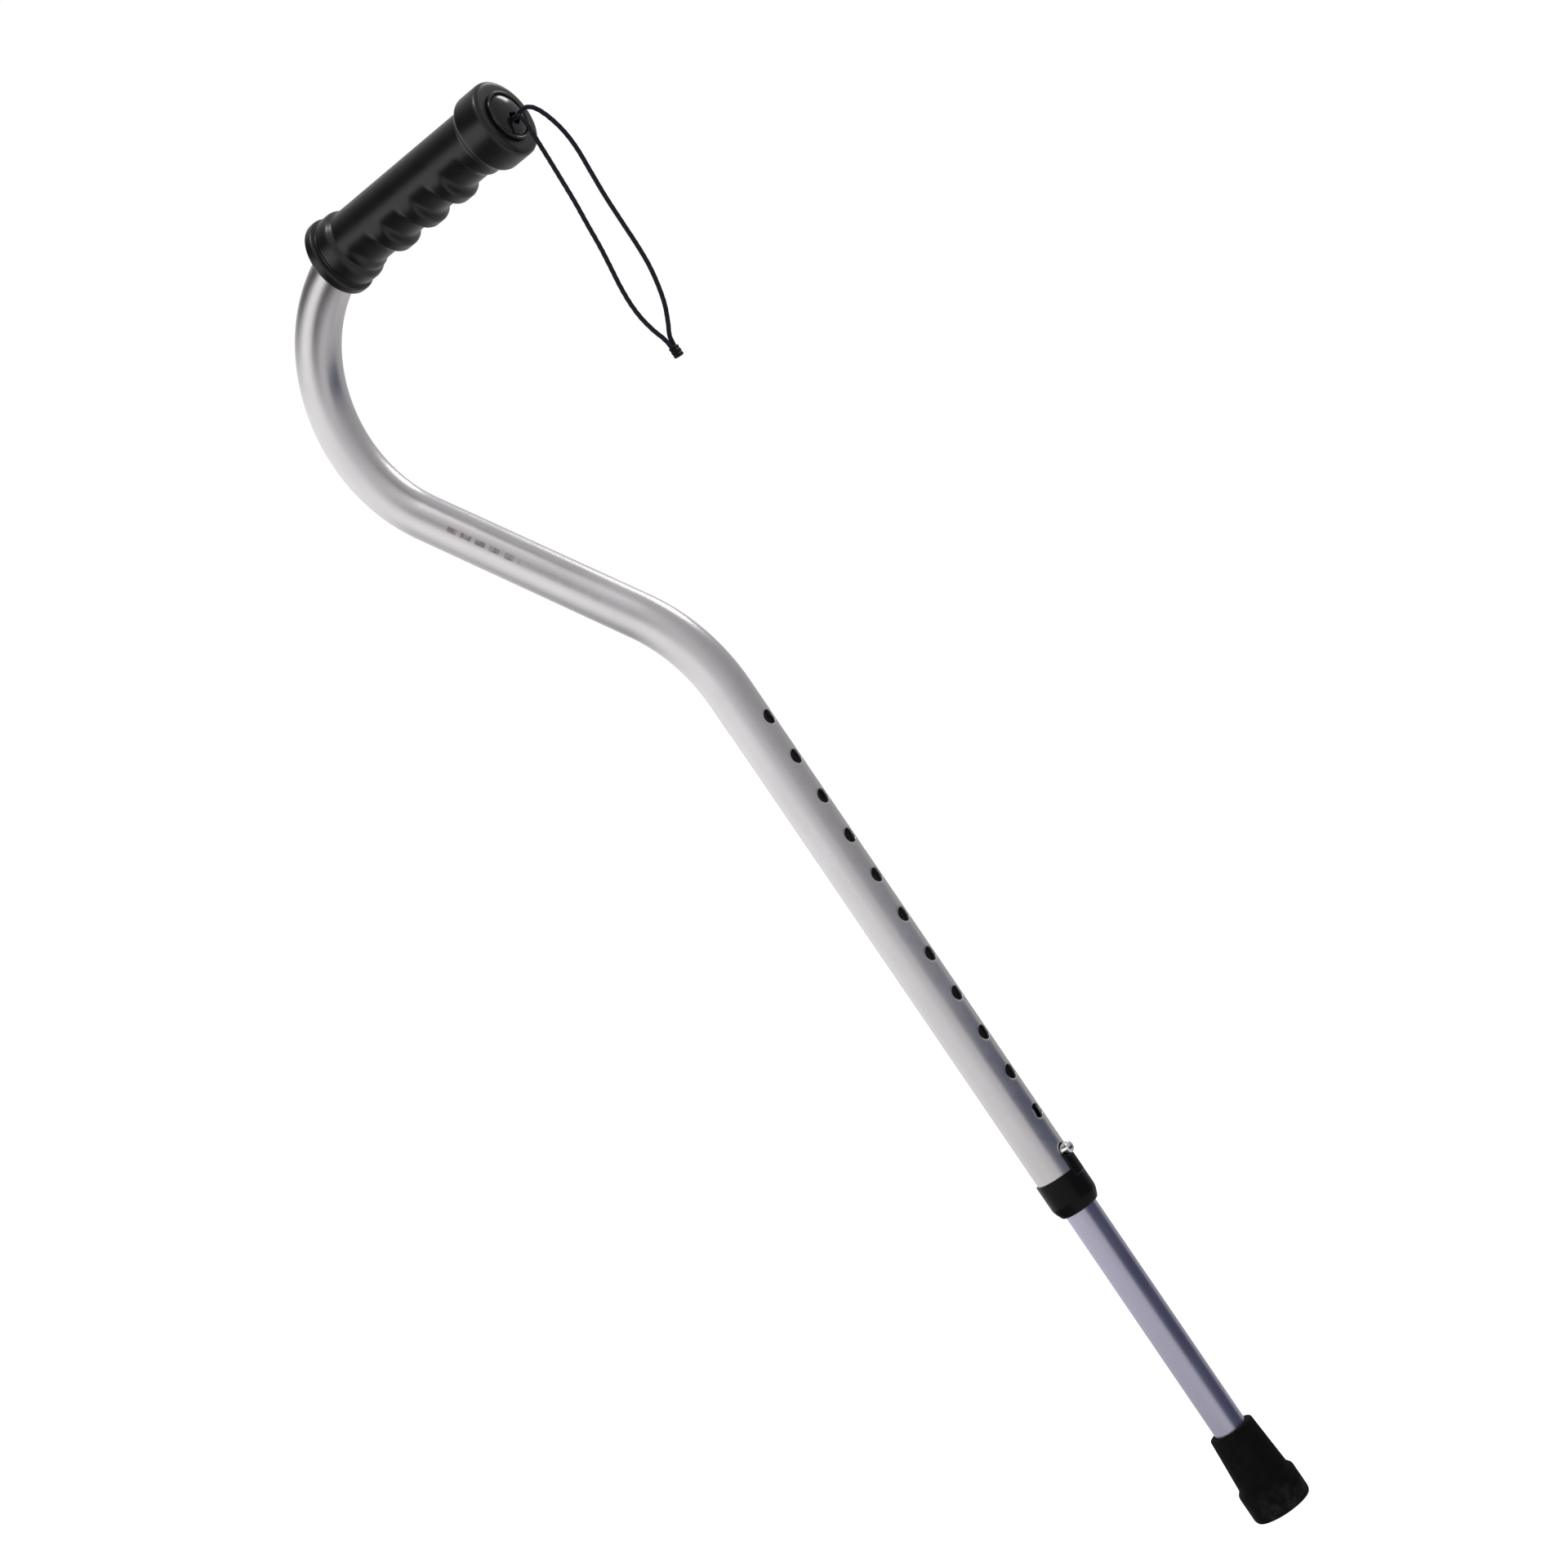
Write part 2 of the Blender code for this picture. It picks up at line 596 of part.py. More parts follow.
# ---- the snap button and its spring -------------------------------------------------------------


def button_flange_x():
    """The outer face of the button's flange, just inside the lower tube's wall."""
    flat = math.sqrt(LOWER_BORE_R ** 2 - BUTTON_FLANGE_R ** 2)
    return flat - GAP


def make_snap_button():
    tip = UPPER_R + BUTTON_PROUD
    flange = button_flange_x()
    dome = [(BUTTON_R * math.sin(a), tip - BUTTON_DOME * (1 - math.cos(a)))
            for a in [math.radians(d) for d in (0, 30, 60, 90)]]
    outline = dome + [(BUTTON_R, flange), (BUTTON_FLANGE_R, flange),
                      (BUTTON_FLANGE_R, flange - BUTTON_FLANGE), (0.0, flange - BUTTON_FLANGE)]
    button = turned("snap_button", outline, CHROME, SMALL_ROUND)
    button.location = (0, 0, LOWEST_HOLE_Z)
    button.rotation_euler = (0, math.pi / 2, 0)


def make_button_spring():
    """A leaf folded to a hairpin: one leg under the button, the other along the far wall."""
    near = button_flange_x() - BUTTON_FLANGE - GAP - SPRING_THICK / 2
    reach = math.sqrt(LOWER_BORE_R ** 2 - (SPRING_WIDTH / 2) ** 2)
    far = -(reach - GAP - SPRING_THICK / 2)
    top = LOWEST_HOLE_Z + SPRING_OVER
    low = LOWEST_HOLE_Z - SPRING_DROP
    middle = (near + far) / 2
    line = [(near, top), (near, LOWEST_HOLE_Z - SPRING_OVER)]
    first = (math.pi - SPRING_BEND) / 2
    for i in range(SPRING_BEND_STEPS + 1):
        turn = first + SPRING_BEND * i / SPRING_BEND_STEPS
        line.append((middle + SPRING_BEND_R * math.cos(turn), low - SPRING_BEND_R * math.sin(turn)))
    line += [(far, LOWEST_HOLE_Z - 2 * SPRING_OVER), (far, top + SPRING_OVER)]
    mesh = bpy.data.meshes.new("button_spring")
    half = SPRING_WIDTH / 2
    verts = [(x, y, z) for x, z in line for y in (-half, half)]
    faces = [(2 * i, 2 * i + 1, 2 * i + 3, 2 * i + 2) for i in range(len(line) - 1)]
    mesh.from_pydata(verts, [], faces)
    spring = add("button_spring", mesh, STEEL)
    thick = spring.modifiers.new("Solidify", "SOLIDIFY")
    thick.thickness = SPRING_THICK
    thick.offset = 0.0
    thick.use_even_offset = True


# ---- the locking collar -------------------------------------------------------------------------


def make_locking_collar():
    """A sleeve over the tube's end that narrows to the lower tube, with a tab up to the button."""
    bore = UPPER_R + COLLAR_GAP
    outer = bore + COLLAR_WALL
    sleeve_foot = COLLAR_TOP_Z - COLLAR_SLEEVE
    foot = sleeve_foot - COLLAR_TAPER
    shelf = UPPER_FOOT_Z - 2 * GAP - BUSH_FLANGE
    throat = LOWER_R + COLLAR_GAP
    lip = LOWER_R + COLLAR_GAP + COLLAR_LIP
    outline = [
        (bore, COLLAR_TOP_Z), (outer - COLLAR_EDGE / 3, COLLAR_TOP_Z),
        (outer, COLLAR_TOP_Z - COLLAR_EDGE), (outer, sleeve_foot),
        (outer - COLLAR_EDGE, sleeve_foot - COLLAR_SHOULDER),
        (lip + COLLAR_EDGE, foot + COLLAR_EDGE), (lip, foot), (throat, foot),
        (throat, shelf), (bore, shelf),
    ]
    collar = turned("locking_collar", outline, PLASTIC, closed=True)
    tab_top = LOWEST_HOLE_Z + TAB_PAST_BUTTON
    tab_foot = COLLAR_TOP_Z - TAB_ROOT
    ring = add_cutter("tab_ring", turned_mesh("tab_ring", [
        (bore, tab_top), (bore + TAB_WALL, tab_top), (bore + TAB_WALL, tab_foot),
        (bore, tab_foot)], True))
    spin(ring, 2 * ROUND)
    half = NOTCH_R + TAB_CHEEK
    keep = box_mesh("tab_width", (0, -half, tab_foot - PAST), (2 * UPPER_R, half, tab_top + PAST))
    boolean(ring, add_cutter("tab_width", keep), "INTERSECT")
    boolean(collar, ring, "UNION")
    notch = rods_mesh("tab_notch", NOTCH_R, 2 * UPPER_R, SMALL_ROUND,
                      [(0.5 * UPPER_R, 0, LOWEST_HOLE_Z)])
    boolean(collar, add_cutter("tab_notch", notch))


# ---- the wrist cord -----------------------------------------------------------------------------


def make_strand(name, route):
    points = [CORD_EXIT + point for point in smooth_route(route, CORD_STEP)]
    strand = pipe(name, points, CORD_R, 8)
    strand.data.materials.append(CORD)
    PARTS.objects.link(strand)


def make_crimp():
    """A block on the two strands' ends."""
    ends = (Vector(INNER_ROUTE[-1]) + Vector(OUTER_ROUTE[-1])) / 2
    half = Vector((CORD_R + CRIMP_WALL, 2 * CORD_R + CRIMP_WALL, CRIMP_LENGTH / 2))
    middle = CORD_EXIT + ends - Vector((0, 0, CRIMP_GAP + half.z))
    crimp = add("cord_crimp", box_mesh("cord_crimp", middle - half, middle + half), PLASTIC)
    soft = crimp.modifiers.new("Bevel", "BEVEL")
    soft.width = CRIMP_SOFTNESS * min(half)
    soft.segments = 2


# ---- bodies -------------------------------------------------------------------------------------


def gather(name, place, pieces):
    """An empty on a joint's axis, with the pieces that move on that joint under it."""
    empty = bpy.data.objects.new(name, None)
    empty.location = place
    empty.empty_display_size = 0.02
    PARTS.objects.link(empty)
    for piece in pieces:
        child = bpy.data.objects[piece]
        child.parent = empty
        child.matrix_parent_inverse = Matrix.Translation(-Vector(place))


def gather_bodies():
    gather("height_slide", (0, 0, LOWEST_HOLE_Z),
           ("lower_tube", "glide_cap", "ferrule", "ferrule_washer", "button_spring"))
    gather("button_press", (0, 0, LOWEST_HOLE_Z), ("snap_button",))
    gather("collar_slide", (0, 0, COLLAR_TOP_Z), ("locking_collar",))
    gather("cord_swing", CORD_PIVOT, ("wrist_cord_inner", "wrist_cord_outer", "cord_crimp"))


def build():
    make_upper_tube()
    make_guide_bush()
    make_handle_grip()
    make_end_plug()
    make_cord_knot()
    make_lower_tube()
    make_glide_cap()
    make_ferrule()
    make_washer()
    make_snap_button()
    make_button_spring()
    make_locking_collar()
    make_strand("wrist_cord_inner", INNER_ROUTE)
    make_strand("wrist_cord_outer", OUTER_ROUTE)
    make_crimp()
    gather_bodies()


build()
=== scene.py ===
"""Single point offset cane: the fine pieces and the finishes that go round its packed frame.

Metres, +Z up. The origin is the centre of the ferrule's ground face, +Z runs up the shaft and +X
points along the grip to its free end.
"""
import json
import math

import bmesh
import bpy
from mathutils import Matrix, Vector

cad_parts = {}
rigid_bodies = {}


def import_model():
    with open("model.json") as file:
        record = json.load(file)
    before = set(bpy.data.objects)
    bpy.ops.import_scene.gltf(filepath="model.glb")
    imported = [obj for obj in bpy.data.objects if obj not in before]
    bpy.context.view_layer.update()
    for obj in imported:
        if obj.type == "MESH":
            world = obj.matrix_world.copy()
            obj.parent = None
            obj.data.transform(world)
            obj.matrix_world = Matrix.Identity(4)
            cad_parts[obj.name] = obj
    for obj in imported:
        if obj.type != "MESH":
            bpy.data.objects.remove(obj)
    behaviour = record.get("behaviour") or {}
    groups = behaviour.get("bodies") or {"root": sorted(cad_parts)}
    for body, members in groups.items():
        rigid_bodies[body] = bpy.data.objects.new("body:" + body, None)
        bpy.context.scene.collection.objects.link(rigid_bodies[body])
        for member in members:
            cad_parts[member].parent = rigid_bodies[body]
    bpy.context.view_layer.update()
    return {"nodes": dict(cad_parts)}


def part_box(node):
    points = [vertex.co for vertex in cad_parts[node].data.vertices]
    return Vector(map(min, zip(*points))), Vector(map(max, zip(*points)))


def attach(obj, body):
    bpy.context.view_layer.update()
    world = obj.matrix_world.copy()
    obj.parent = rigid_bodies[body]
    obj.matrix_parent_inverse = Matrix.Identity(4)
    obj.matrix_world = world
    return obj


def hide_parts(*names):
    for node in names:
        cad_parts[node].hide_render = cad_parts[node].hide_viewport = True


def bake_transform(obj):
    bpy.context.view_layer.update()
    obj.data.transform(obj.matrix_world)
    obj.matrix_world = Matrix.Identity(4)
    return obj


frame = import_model()

bl_info = {
    "name": "Offset Cane",
    "version": (1, 0, 0),
    "blender": (4, 5, 0),
    "location": "View3D > Sidebar > Cane",
    "description": "Makes the fine pieces, the finishes and the stage of a telescoping offset cane",
    "category": "Add Mesh",
}

# ---- read from the frame ------------------------------------------------------------------------
TUBE_LOW, TUBE_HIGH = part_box("upper_tube")
LEG_LOW, LEG_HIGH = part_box("lower_tube")
GRIP_LOW, GRIP_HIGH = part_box("handle_grip")
PLUG_LOW, PLUG_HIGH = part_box("grip_end_plug")
KNOT_LOW, KNOT_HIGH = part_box("cord_knot")
COLLAR_LOW, COLLAR_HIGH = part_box("locking_collar")
BUTTON_LOW, BUTTON_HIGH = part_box("snap_button")
SPRING_LOW, SPRING_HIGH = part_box("button_spring")
FERRULE_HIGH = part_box("ferrule")[1]
CRIMP_LOW, CRIMP_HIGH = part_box("cord_crimp")

BUTTON_Z = (BUTTON_LOW.z + BUTTON_HIGH.z) / 2
PLUG_Z = (PLUG_LOW.z + PLUG_HIGH.z) / 2
KNOT_Z = (KNOT_LOW.z + KNOT_HIGH.z) / 2
CORD_EXIT = Vector((PLUG_HIGH.x, 0.0, KNOT_Z))

# ---- fineness -----------------------------------------------------------------------------------
LAY = "lay"                       # map of (around, along) in metres
SIDES = 96                        # of a turned piece
SMALL_SIDES = 48
WELD = 1e-6                       # points of a piece closer than this are one
EASE_STEPS = 5                    # steps round an eased corner
BEND_STEP = math.radians(2.5)     # of a tube, from one ring of points to the next
SHARP = math.radians(38)          # an edge that turns more than this is shaded as an edge
TURN = 2 * math.pi


# ---- sizes and colours that a user would change -------------------------------------------------


def length(name, text, value):
    return bpy.props.FloatProperty(name=name, description=text, default=value, min=0.0,
                                   precision=5, unit="LENGTH")


def angle(name, text, degrees):
    return bpy.props.FloatProperty(name=name, description=text, default=math.radians(degrees),
                                   subtype="ANGLE")


def share(name, text, value):
    return bpy.props.FloatProperty(name=name, description=text, default=value, min=0.0, max=1.0,
                                   subtype="FACTOR")


def brightness(name, text, value):
    return bpy.props.FloatProperty(name=name, description=text, default=value, min=0.0, max=20.0,
                                   subtype="FACTOR")


def sines(name, text, value):
    return bpy.props.FloatVectorProperty(name=name, description=text, default=value, size=2,
                                         min=-1.0, max=1.0, subtype="NONE")


def count(name, text, value):
    return bpy.props.IntProperty(name=name, description=text, default=value, min=1)


def colour(name, text, value):
    return bpy.props.FloatVectorProperty(name=name, description=text, default=value, size=3,
                                         min=0.0, max=1.0, subtype="COLOR")


class CaneTubes(bpy.types.PropertyGroup):
    """Sizes of the bent upper tube and the straight lower one."""

    upper_radius: length("Upper radius", "Outer radius of the bent tube", TUBE_HIGH.y)
    upper_wall: length("Upper wall", "Wall of the bent tube", 0.0015)
    shaft_top: length("Shaft top", "Height where the straight shaft ends", 0.528)
    shaft_bend: length("Shaft bend", "Bend radius over the shaft", 0.104)
    lean: angle("Lean", "Lean of the sloping run off the vertical", 35.9)
    slope: length("Slope", "Length of the sloping run", 0.1375)
    neck_bend: length("Neck bend", "Bend radius of the gooseneck", 0.088)
    level: length("Level run", "Length of the run inside the grip", 0.1146)
    hole_radius: length("Hole radius", "Radius of a height hole", 0.0042)
    hole_pitch: length("Hole pitch", "Distance from one height hole to the next", 0.0254)
    hole_count: count("Holes", "Number of height holes", 12)
    hole_ease: length("Hole ease", "Width of the broken edge round a height hole", 0.00035)
    lower_radius: length("Lower radius", "Outer radius of the lower tube", LEG_HIGH.y)
    lower_wall: length("Lower wall", "Wall of the lower tube", 0.0016)
    print_turn: angle("Print turn", "Of the printed dashes round the tube", 295.0)
    print_height: length("Print height", "Of the row of dashes", 0.0046)
    print_start: length("Print start", "Of the dashes, past the bend over the shaft", 0.020)
    print_length: length("Print length", "Of the row of dashes", 0.098)


class CaneGrip(bpy.types.PropertyGroup):
    """Sizes of the grip and of the plug in its end."""

    body: length("Body radius", "Radius of the plain part", 0.0184)
    flange: length("Flange radius", "Radius of the two end flanges", GRIP_HIGH.y)
    rib: length("Rib radius", "Radius of the inner rib at the mouth", 0.0208)
    notch: length("Notch radius", "Radius of the groove beside that rib", 0.0198)
    ridge_pitch: length("Ridge pitch", "Distance between finger ridges", 0.0236)
    ridge_count: count("Ridges", "Number of finger ridges", 3)
    ridge_height: length("Ridge height", "Of a finger ridge past the body", 0.0018)
    hollow_depth: length("Hollow depth", "Of the finger hollows under the body", 0.0017)
    first_ridge: length("First ridge", "Its distance from the mouth", 0.0439)
    fit: length("Fit", "Clearance between the grip and the tube", 0.0003)
    plug_rim: length("Plug rim", "Width of the raised rim round the plug", 0.0021)
    plug_dome: length("Plug dome", "Rise of the plug's dome past its seat", 0.0034)
    cord_hole: length("Cord hole", "Radius of the hole for the cord", 0.0033)


class CaneCord(bpy.types.PropertyGroup):
    """Sizes of the wrist cord."""

    radius: length("Radius", "Radius of one strand", 0.0013)
    plait_pitch: length("Plait pitch", "Length of one crossing of the plait", 0.0021)
    plait_depth: length("Plait depth", "Rise of the plait's crossings", 0.00007)
    plait_count: count("Plait count", "Crossings round a strand", 5)
    inside: length("Inside", "How far a strand runs back into the plug", 0.0075)


class CaneLock(bpy.types.PropertyGroup):
    """Sizes of the locking collar, the snap button and its spring."""

    wall: length("Wall", "Wall of the collar's sleeve", 0.0008)
    gap: length("Gap", "Clearance between the collar and a tube", 0.00025)
    top: length("Top", "Height of the sleeve's rim", 0.2170)
    sleeve: length("Sleeve", "Length of the straight sleeve", 0.0155)
    lip: length("Lip", "Outer radius at the foot", 0.0113)
    shelf: length("Shelf", "Height of the shelf under the tube's mouth", 0.1998)
    tab_width: length("Tab width", "Width of the tab up to the button", 0.009)
    tab_wall: length("Tab wall", "Thickness of the tab", 0.0013)
    button: length("Button", "Radius of the snap button", 0.0035)
    button_gap: length("Button gap", "Clearance round the button", 0.0004)
    button_dome: length("Button dome", "Height of the button's dome", 0.0024)
    button_flange: length("Button flange", "Thickness of the button's flange", 0.0013)
    spring_thick: length("Spring thickness", "Thickness of the hairpin's leaf", 0.0008)
    spring_drop: length("Spring drop", "From the button down to the hairpin's bend", 0.031)
    spring_over: length("Spring over", "Of the front leaf over the button", 0.0045)
    spring_bend: length("Spring bend", "Radius of the hairpin's bend", 0.0024)
    spring_turn: angle("Spring turn", "Of the hairpin's bend", 150.0)


class CaneFerrule(bpy.types.PropertyGroup):
    """Sizes of the rubber ferrule."""

    mouth: length("Mouth", "Outer radius at the mouth", 0.0131)
    neck: length("Neck", "Outer radius just over the step", 0.0152)
    foot: length("Foot", "Outer radius of the foot", FERRULE_HIGH.y)
    face: length("Face", "Radius of the ground face", 0.0163)
    step: length("Step", "Height of the step", 0.0175)
    shoulder: length("Shoulder", "Height of the slope over the step", 0.0024)
    floor: length("Floor", "Rubber under the washer", 0.0085)
    tread_pitch: length("Tread pitch", "Distance between the tread's rings", 0.0055)
    tread_count: count("Tread rings", "Number of ring grooves in the ground face", 2)
    tread_width: length("Tread width", "Width of a ring groove", 0.0016)
    tread_depth: length("Tread depth", "Depth of a ring groove", 0.0012)
    tread_side: length("Tread side", "Slope of a ring groove's sides", 0.0003)


class CaneColours(bpy.types.PropertyGroup):
    """Colours of the finishes."""

    satin: colour("Satin aluminium", "Upper tube", (0.70, 0.685, 0.695))
    bright: colour("Bright aluminium", "Lower tube", (0.55, 0.54, 0.66))
    steel: colour("Spring steel", "Spring and washer", (0.46, 0.46, 0.48))
    chrome: colour("Chrome", "Snap button", (0.82, 0.82, 0.83))
    nylon: colour("Nylon", "Bush and glide cap", (0.76, 0.75, 0.70))
    vinyl: colour("Vinyl", "Grip", (0.0035, 0.0034, 0.0032))
    plastic: colour("Plastic", "Collar, plug and crimp", (0.0030, 0.0030, 0.0034))
    rubber: colour("Rubber", "Ferrule", (0.0026, 0.0026, 0.0026))
    cord: colour("Cord", "Wrist cord", (0.0040, 0.0040, 0.0100))
    ink: colour("Ink", "Printed dashes on the slope", (0.16, 0.13, 0.12))
    wear: share("Wear", "How worn the surfaces look", 0.5)


class CaneStage(bpy.types.PropertyGroup):
    """The floor, the room's light, the dark card and the camera."""

    floor: colour("Floor", "Paper on the floor", (0.90, 0.90, 0.90))
    glow: share("Glow", "Light that comes through the floor's paper", 0.85)
    backdrop: colour("Backdrop", "What the camera sees behind the cane", (1.0, 1.0, 1.0))
    surround: colour("Surround", "Soft light from all round", (1.0, 0.99, 1.0))
    left_light: brightness("Left light", "Of the band at the camera's left", 1.12)
    front_light: brightness("Front light", "Of the room round the camera", 0.62)
    right_light: brightness("Right light", "Of the room at the camera's right", 0.34)
    dim_light: brightness("Dim light", "Of everything else", 0.04)
    band_edge: sines("Band edge", "Where the room ends and the band begins", (0.10, 0.65))
    band_foot: sines("Band foot", "Where the band rises from the ground", (-0.33, -0.12))
    band_top: sines("Band top", "Where the band fades overhead", (0.30, 0.50))
    flag_drop: length("Flag drop", "From the ground down to the dark card's middle", 0.05)
    flag_turn: angle("Flag turn", "Of the dark card round from the camera", 66.0)
    flag_distance: length("Flag distance", "Of the dark card from the cane", 0.9)
    flag_width: length("Flag width", "Width of the dark card", 1.7)
    flag_height: length("Flag height", "Height of the dark card", 0.60)
    flag_tone: colour("Flag tone", "Of the dark card", (0.04, 0.05, 0.11))
    floor_radius: length("Floor radius", "Radius of the floor", 30.0)
    distance: length("Distance", "From the camera to the middle of the cane", 2.05)
    azimuth: angle("Azimuth", "Of the camera round the cane", 34.0)
    elevation: angle("Elevation", "Of the camera over the middle of the cane", 2.0)
    roll: angle("Roll", "Of the camera about its own axis", -34.23)
    lens: bpy.props.FloatProperty(name="Lens", description="Focal length on a 36 mm sensor",
                                  default=88.3, unit="CAMERA")
    aim_side: bpy.props.FloatProperty(name="Aim side", description="Of the middle, across the view",
                                      default=-0.0036, precision=5, unit="LENGTH")
    aim_height: length("Aim height", "Height that the camera looks at", 0.4722)


GROUPS = {
    "cane_tubes": CaneTubes,
    "cane_grip": CaneGrip,
    "cane_cord": CaneCord,
    "cane_lock": CaneLock,
    "cane_ferrule": CaneFerrule,
    "cane_colours": CaneColours,
    "cane_stage": CaneStage,
}

# Each strand's route from the plug's hole: out along +X, across along +Y and up along +Z.
INNER_ROUTE = [
    (0.0006, -0.0014, 0.0000), (0.0022, -0.0015, -0.0003), (0.0039, -0.0018, -0.0018),
    (0.0048, -0.0021, -0.0044), (0.0050, -0.0025, -0.0090), (0.0049, -0.0028, -0.0160),
    (0.0046, -0.0030, -0.0256), (0.0038, -0.0030, -0.0400), (0.0029, -0.0030, -0.0540),
    (0.0015, -0.0030, -0.0675), (0.0003, -0.0030, -0.0800), (-0.0012, -0.0030, -0.0905),
    (-0.0030, -0.0029, -0.1015), (-0.0040, -0.0027, -0.1120), (-0.0037, -0.0024, -0.1215),
    (-0.0020, -0.0020, -0.1305), (0.0002, -0.0016, -0.1375), (0.0010, -0.0015, -0.1424),
]
OUTER_ROUTE = [
    (0.0006, 0.0014, 0.0000), (0.0040, 0.0014, 0.0009), (0.0086, 0.0016, 0.0004),
    (0.0122, 0.0024, -0.0034), (0.0150, 0.0036, -0.0110), (0.0168, 0.0047, -0.0210),
    (0.0170, 0.0054, -0.0320), (0.0158, 0.0057, -0.0460), (0.0148, 0.0057, -0.0600),
    (0.0146, 0.0054, -0.0760), (0.0146, 0.0050, -0.0900), (0.0140, 0.0045, -0.1020),
    (0.0122, 0.0038, -0.1130), (0.0095, 0.0030, -0.1230), (0.0056, 0.0021, -0.1315),
    (0.0022, 0.0016, -0.1375), (0.0012, 0.0015, -0.1424),
]

# ---- surfaces -----------------------------------------------------------------------------------


def placed(name, bm, material):
    """Turns a bmesh into a mesh object with one material, in the scene."""
    mesh = bpy.data.meshes.new(name)
    bm.to_mesh(mesh)
    bm.free()
    mesh.materials.append(material)
    made = bpy.data.objects.new(name, mesh)
    bpy.context.scene.collection.objects.link(made)
    return made


class Surface:
    """Grids of quads, welded where their borders meet, with a lay of (around, along) in metres."""

    def __init__(self):
        self.bm = bmesh.new()
        self.lay = self.bm.loops.layers.uv.new(LAY)

    def grid(self, rows):
        """Joins neighbouring rows with quads. A row is a list of (place, (around, along))."""
        made = [[self.bm.verts.new(place) for place, _ in row] for row in rows]
        for i in range(len(rows) - 1):
            for k in range(len(rows[i]) - 1):
                corners = ((i, k), (i, k + 1), (i + 1, k + 1), (i + 1, k))
                face = self.bm.faces.new([made[a][b] for a, b in corners])
                for loop, (a, b) in zip(face.loops, corners):
                    loop[self.lay].uv = rows[a][b][1]

    def piece(self, name, material):
        """Welds the grids into one mesh object."""
        bmesh.ops.remove_doubles(self.bm, verts=self.bm.verts, dist=WELD)
        bmesh.ops.recalc_face_normals(self.bm, faces=self.bm.faces)
        made = placed(name, self.bm, material)
        made.data.shade_smooth()
        made.data.set_sharp_from_angle(angle=SHARP)
        return made


def spread(low, high, steps):
    """Evenly spaced values from low to high."""
    return [low + (high - low) * i / steps for i in range(steps + 1)]


def smooth(way):
    """0 up to 0, 1 from 1 on, and a smooth rise between them."""
    way = min(max(way, 0.0), 1.0)
    return way * way * (3 - 2 * way)


def swell(value, middle, half_flat, half_width):
    """1 on a flat middle, falling smoothly to 0 at the half width."""
    return smooth((half_width - abs(value - middle)) / (half_width - half_flat))


def eased(corners):
    """A profile of (a, b) points from (a, b, ease) corners, each rounded as far as its ease."""
    out = []
    for i, (a, b, ease) in enumerate(corners):
        here = Vector((a, b))
        if ease == 0:
            out.append(here)
            continue
        before = Vector(corners[i - 1][:2]) - here
        after = Vector(corners[(i + 1) % len(corners)][:2]) - here
        start = here + before.normalized() * min(ease, before.length / 2)
        end = here + after.normalized() * min(ease, after.length / 2)
        for t in spread(0.0, 1.0, EASE_STEPS):
            out.append(start * (1 - t) ** 2 + here * 2 * t * (1 - t) + end * t * t)
    return out


def running(points):
    """Distance of each point along the row of points."""
    along = [0.0]
    for a, b in zip(points, points[1:]):
        along.append(along[-1] + (b - a).length)
    return along


def turned(name, profile, material, place=None, sides=SIDES):
    """Turns a profile of (radius, height) about +Z and moves it to its place."""
    place = place or Matrix.Identity(4)
    widest = max(p.x for p in profile)
    rows = []
    for point, along in zip(profile, running(profile)):
        rows.append([(place @ Vector((point.x * math.cos(t), point.x * math.sin(t), point.y)),
                      (t * widest, along)) for t in spread(0.0, TURN, sides)])
    surface = Surface()
    surface.grid(rows)
    return surface.piece(name, material)


def along_x(x, z):
    """The place of a piece turned about an axis that points along +X."""
    return Matrix.Translation((x, 0, z)) @ Matrix.Rotation(math.pi / 2, 4, "Y")


def cut(piece, cutter):
    """Cuts the cutter out of the piece for good."""
    step = piece.modifiers.new("Cut", "BOOLEAN")
    step.operation = "DIFFERENCE"
    step.solver = "EXACT"
    step.object = cutter
    seen = piece.evaluated_get(bpy.context.evaluated_depsgraph_get())
    mesh = bpy.data.meshes.new_from_object(seen)
    piece.modifiers.clear()
    piece.data = mesh
    mesh.set_sharp_from_angle(angle=SHARP)
    bpy.data.objects.remove(cutter, do_unlink=True)


def settle(piece, body, slot, *nodes):
    """The piece rides on a body and stands for CAD nodes, which it hides. The slot is not used."""
    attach(piece, body)
    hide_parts(*nodes)
    return piece


# ---- node trees ---------------------------------------------------------------------------------


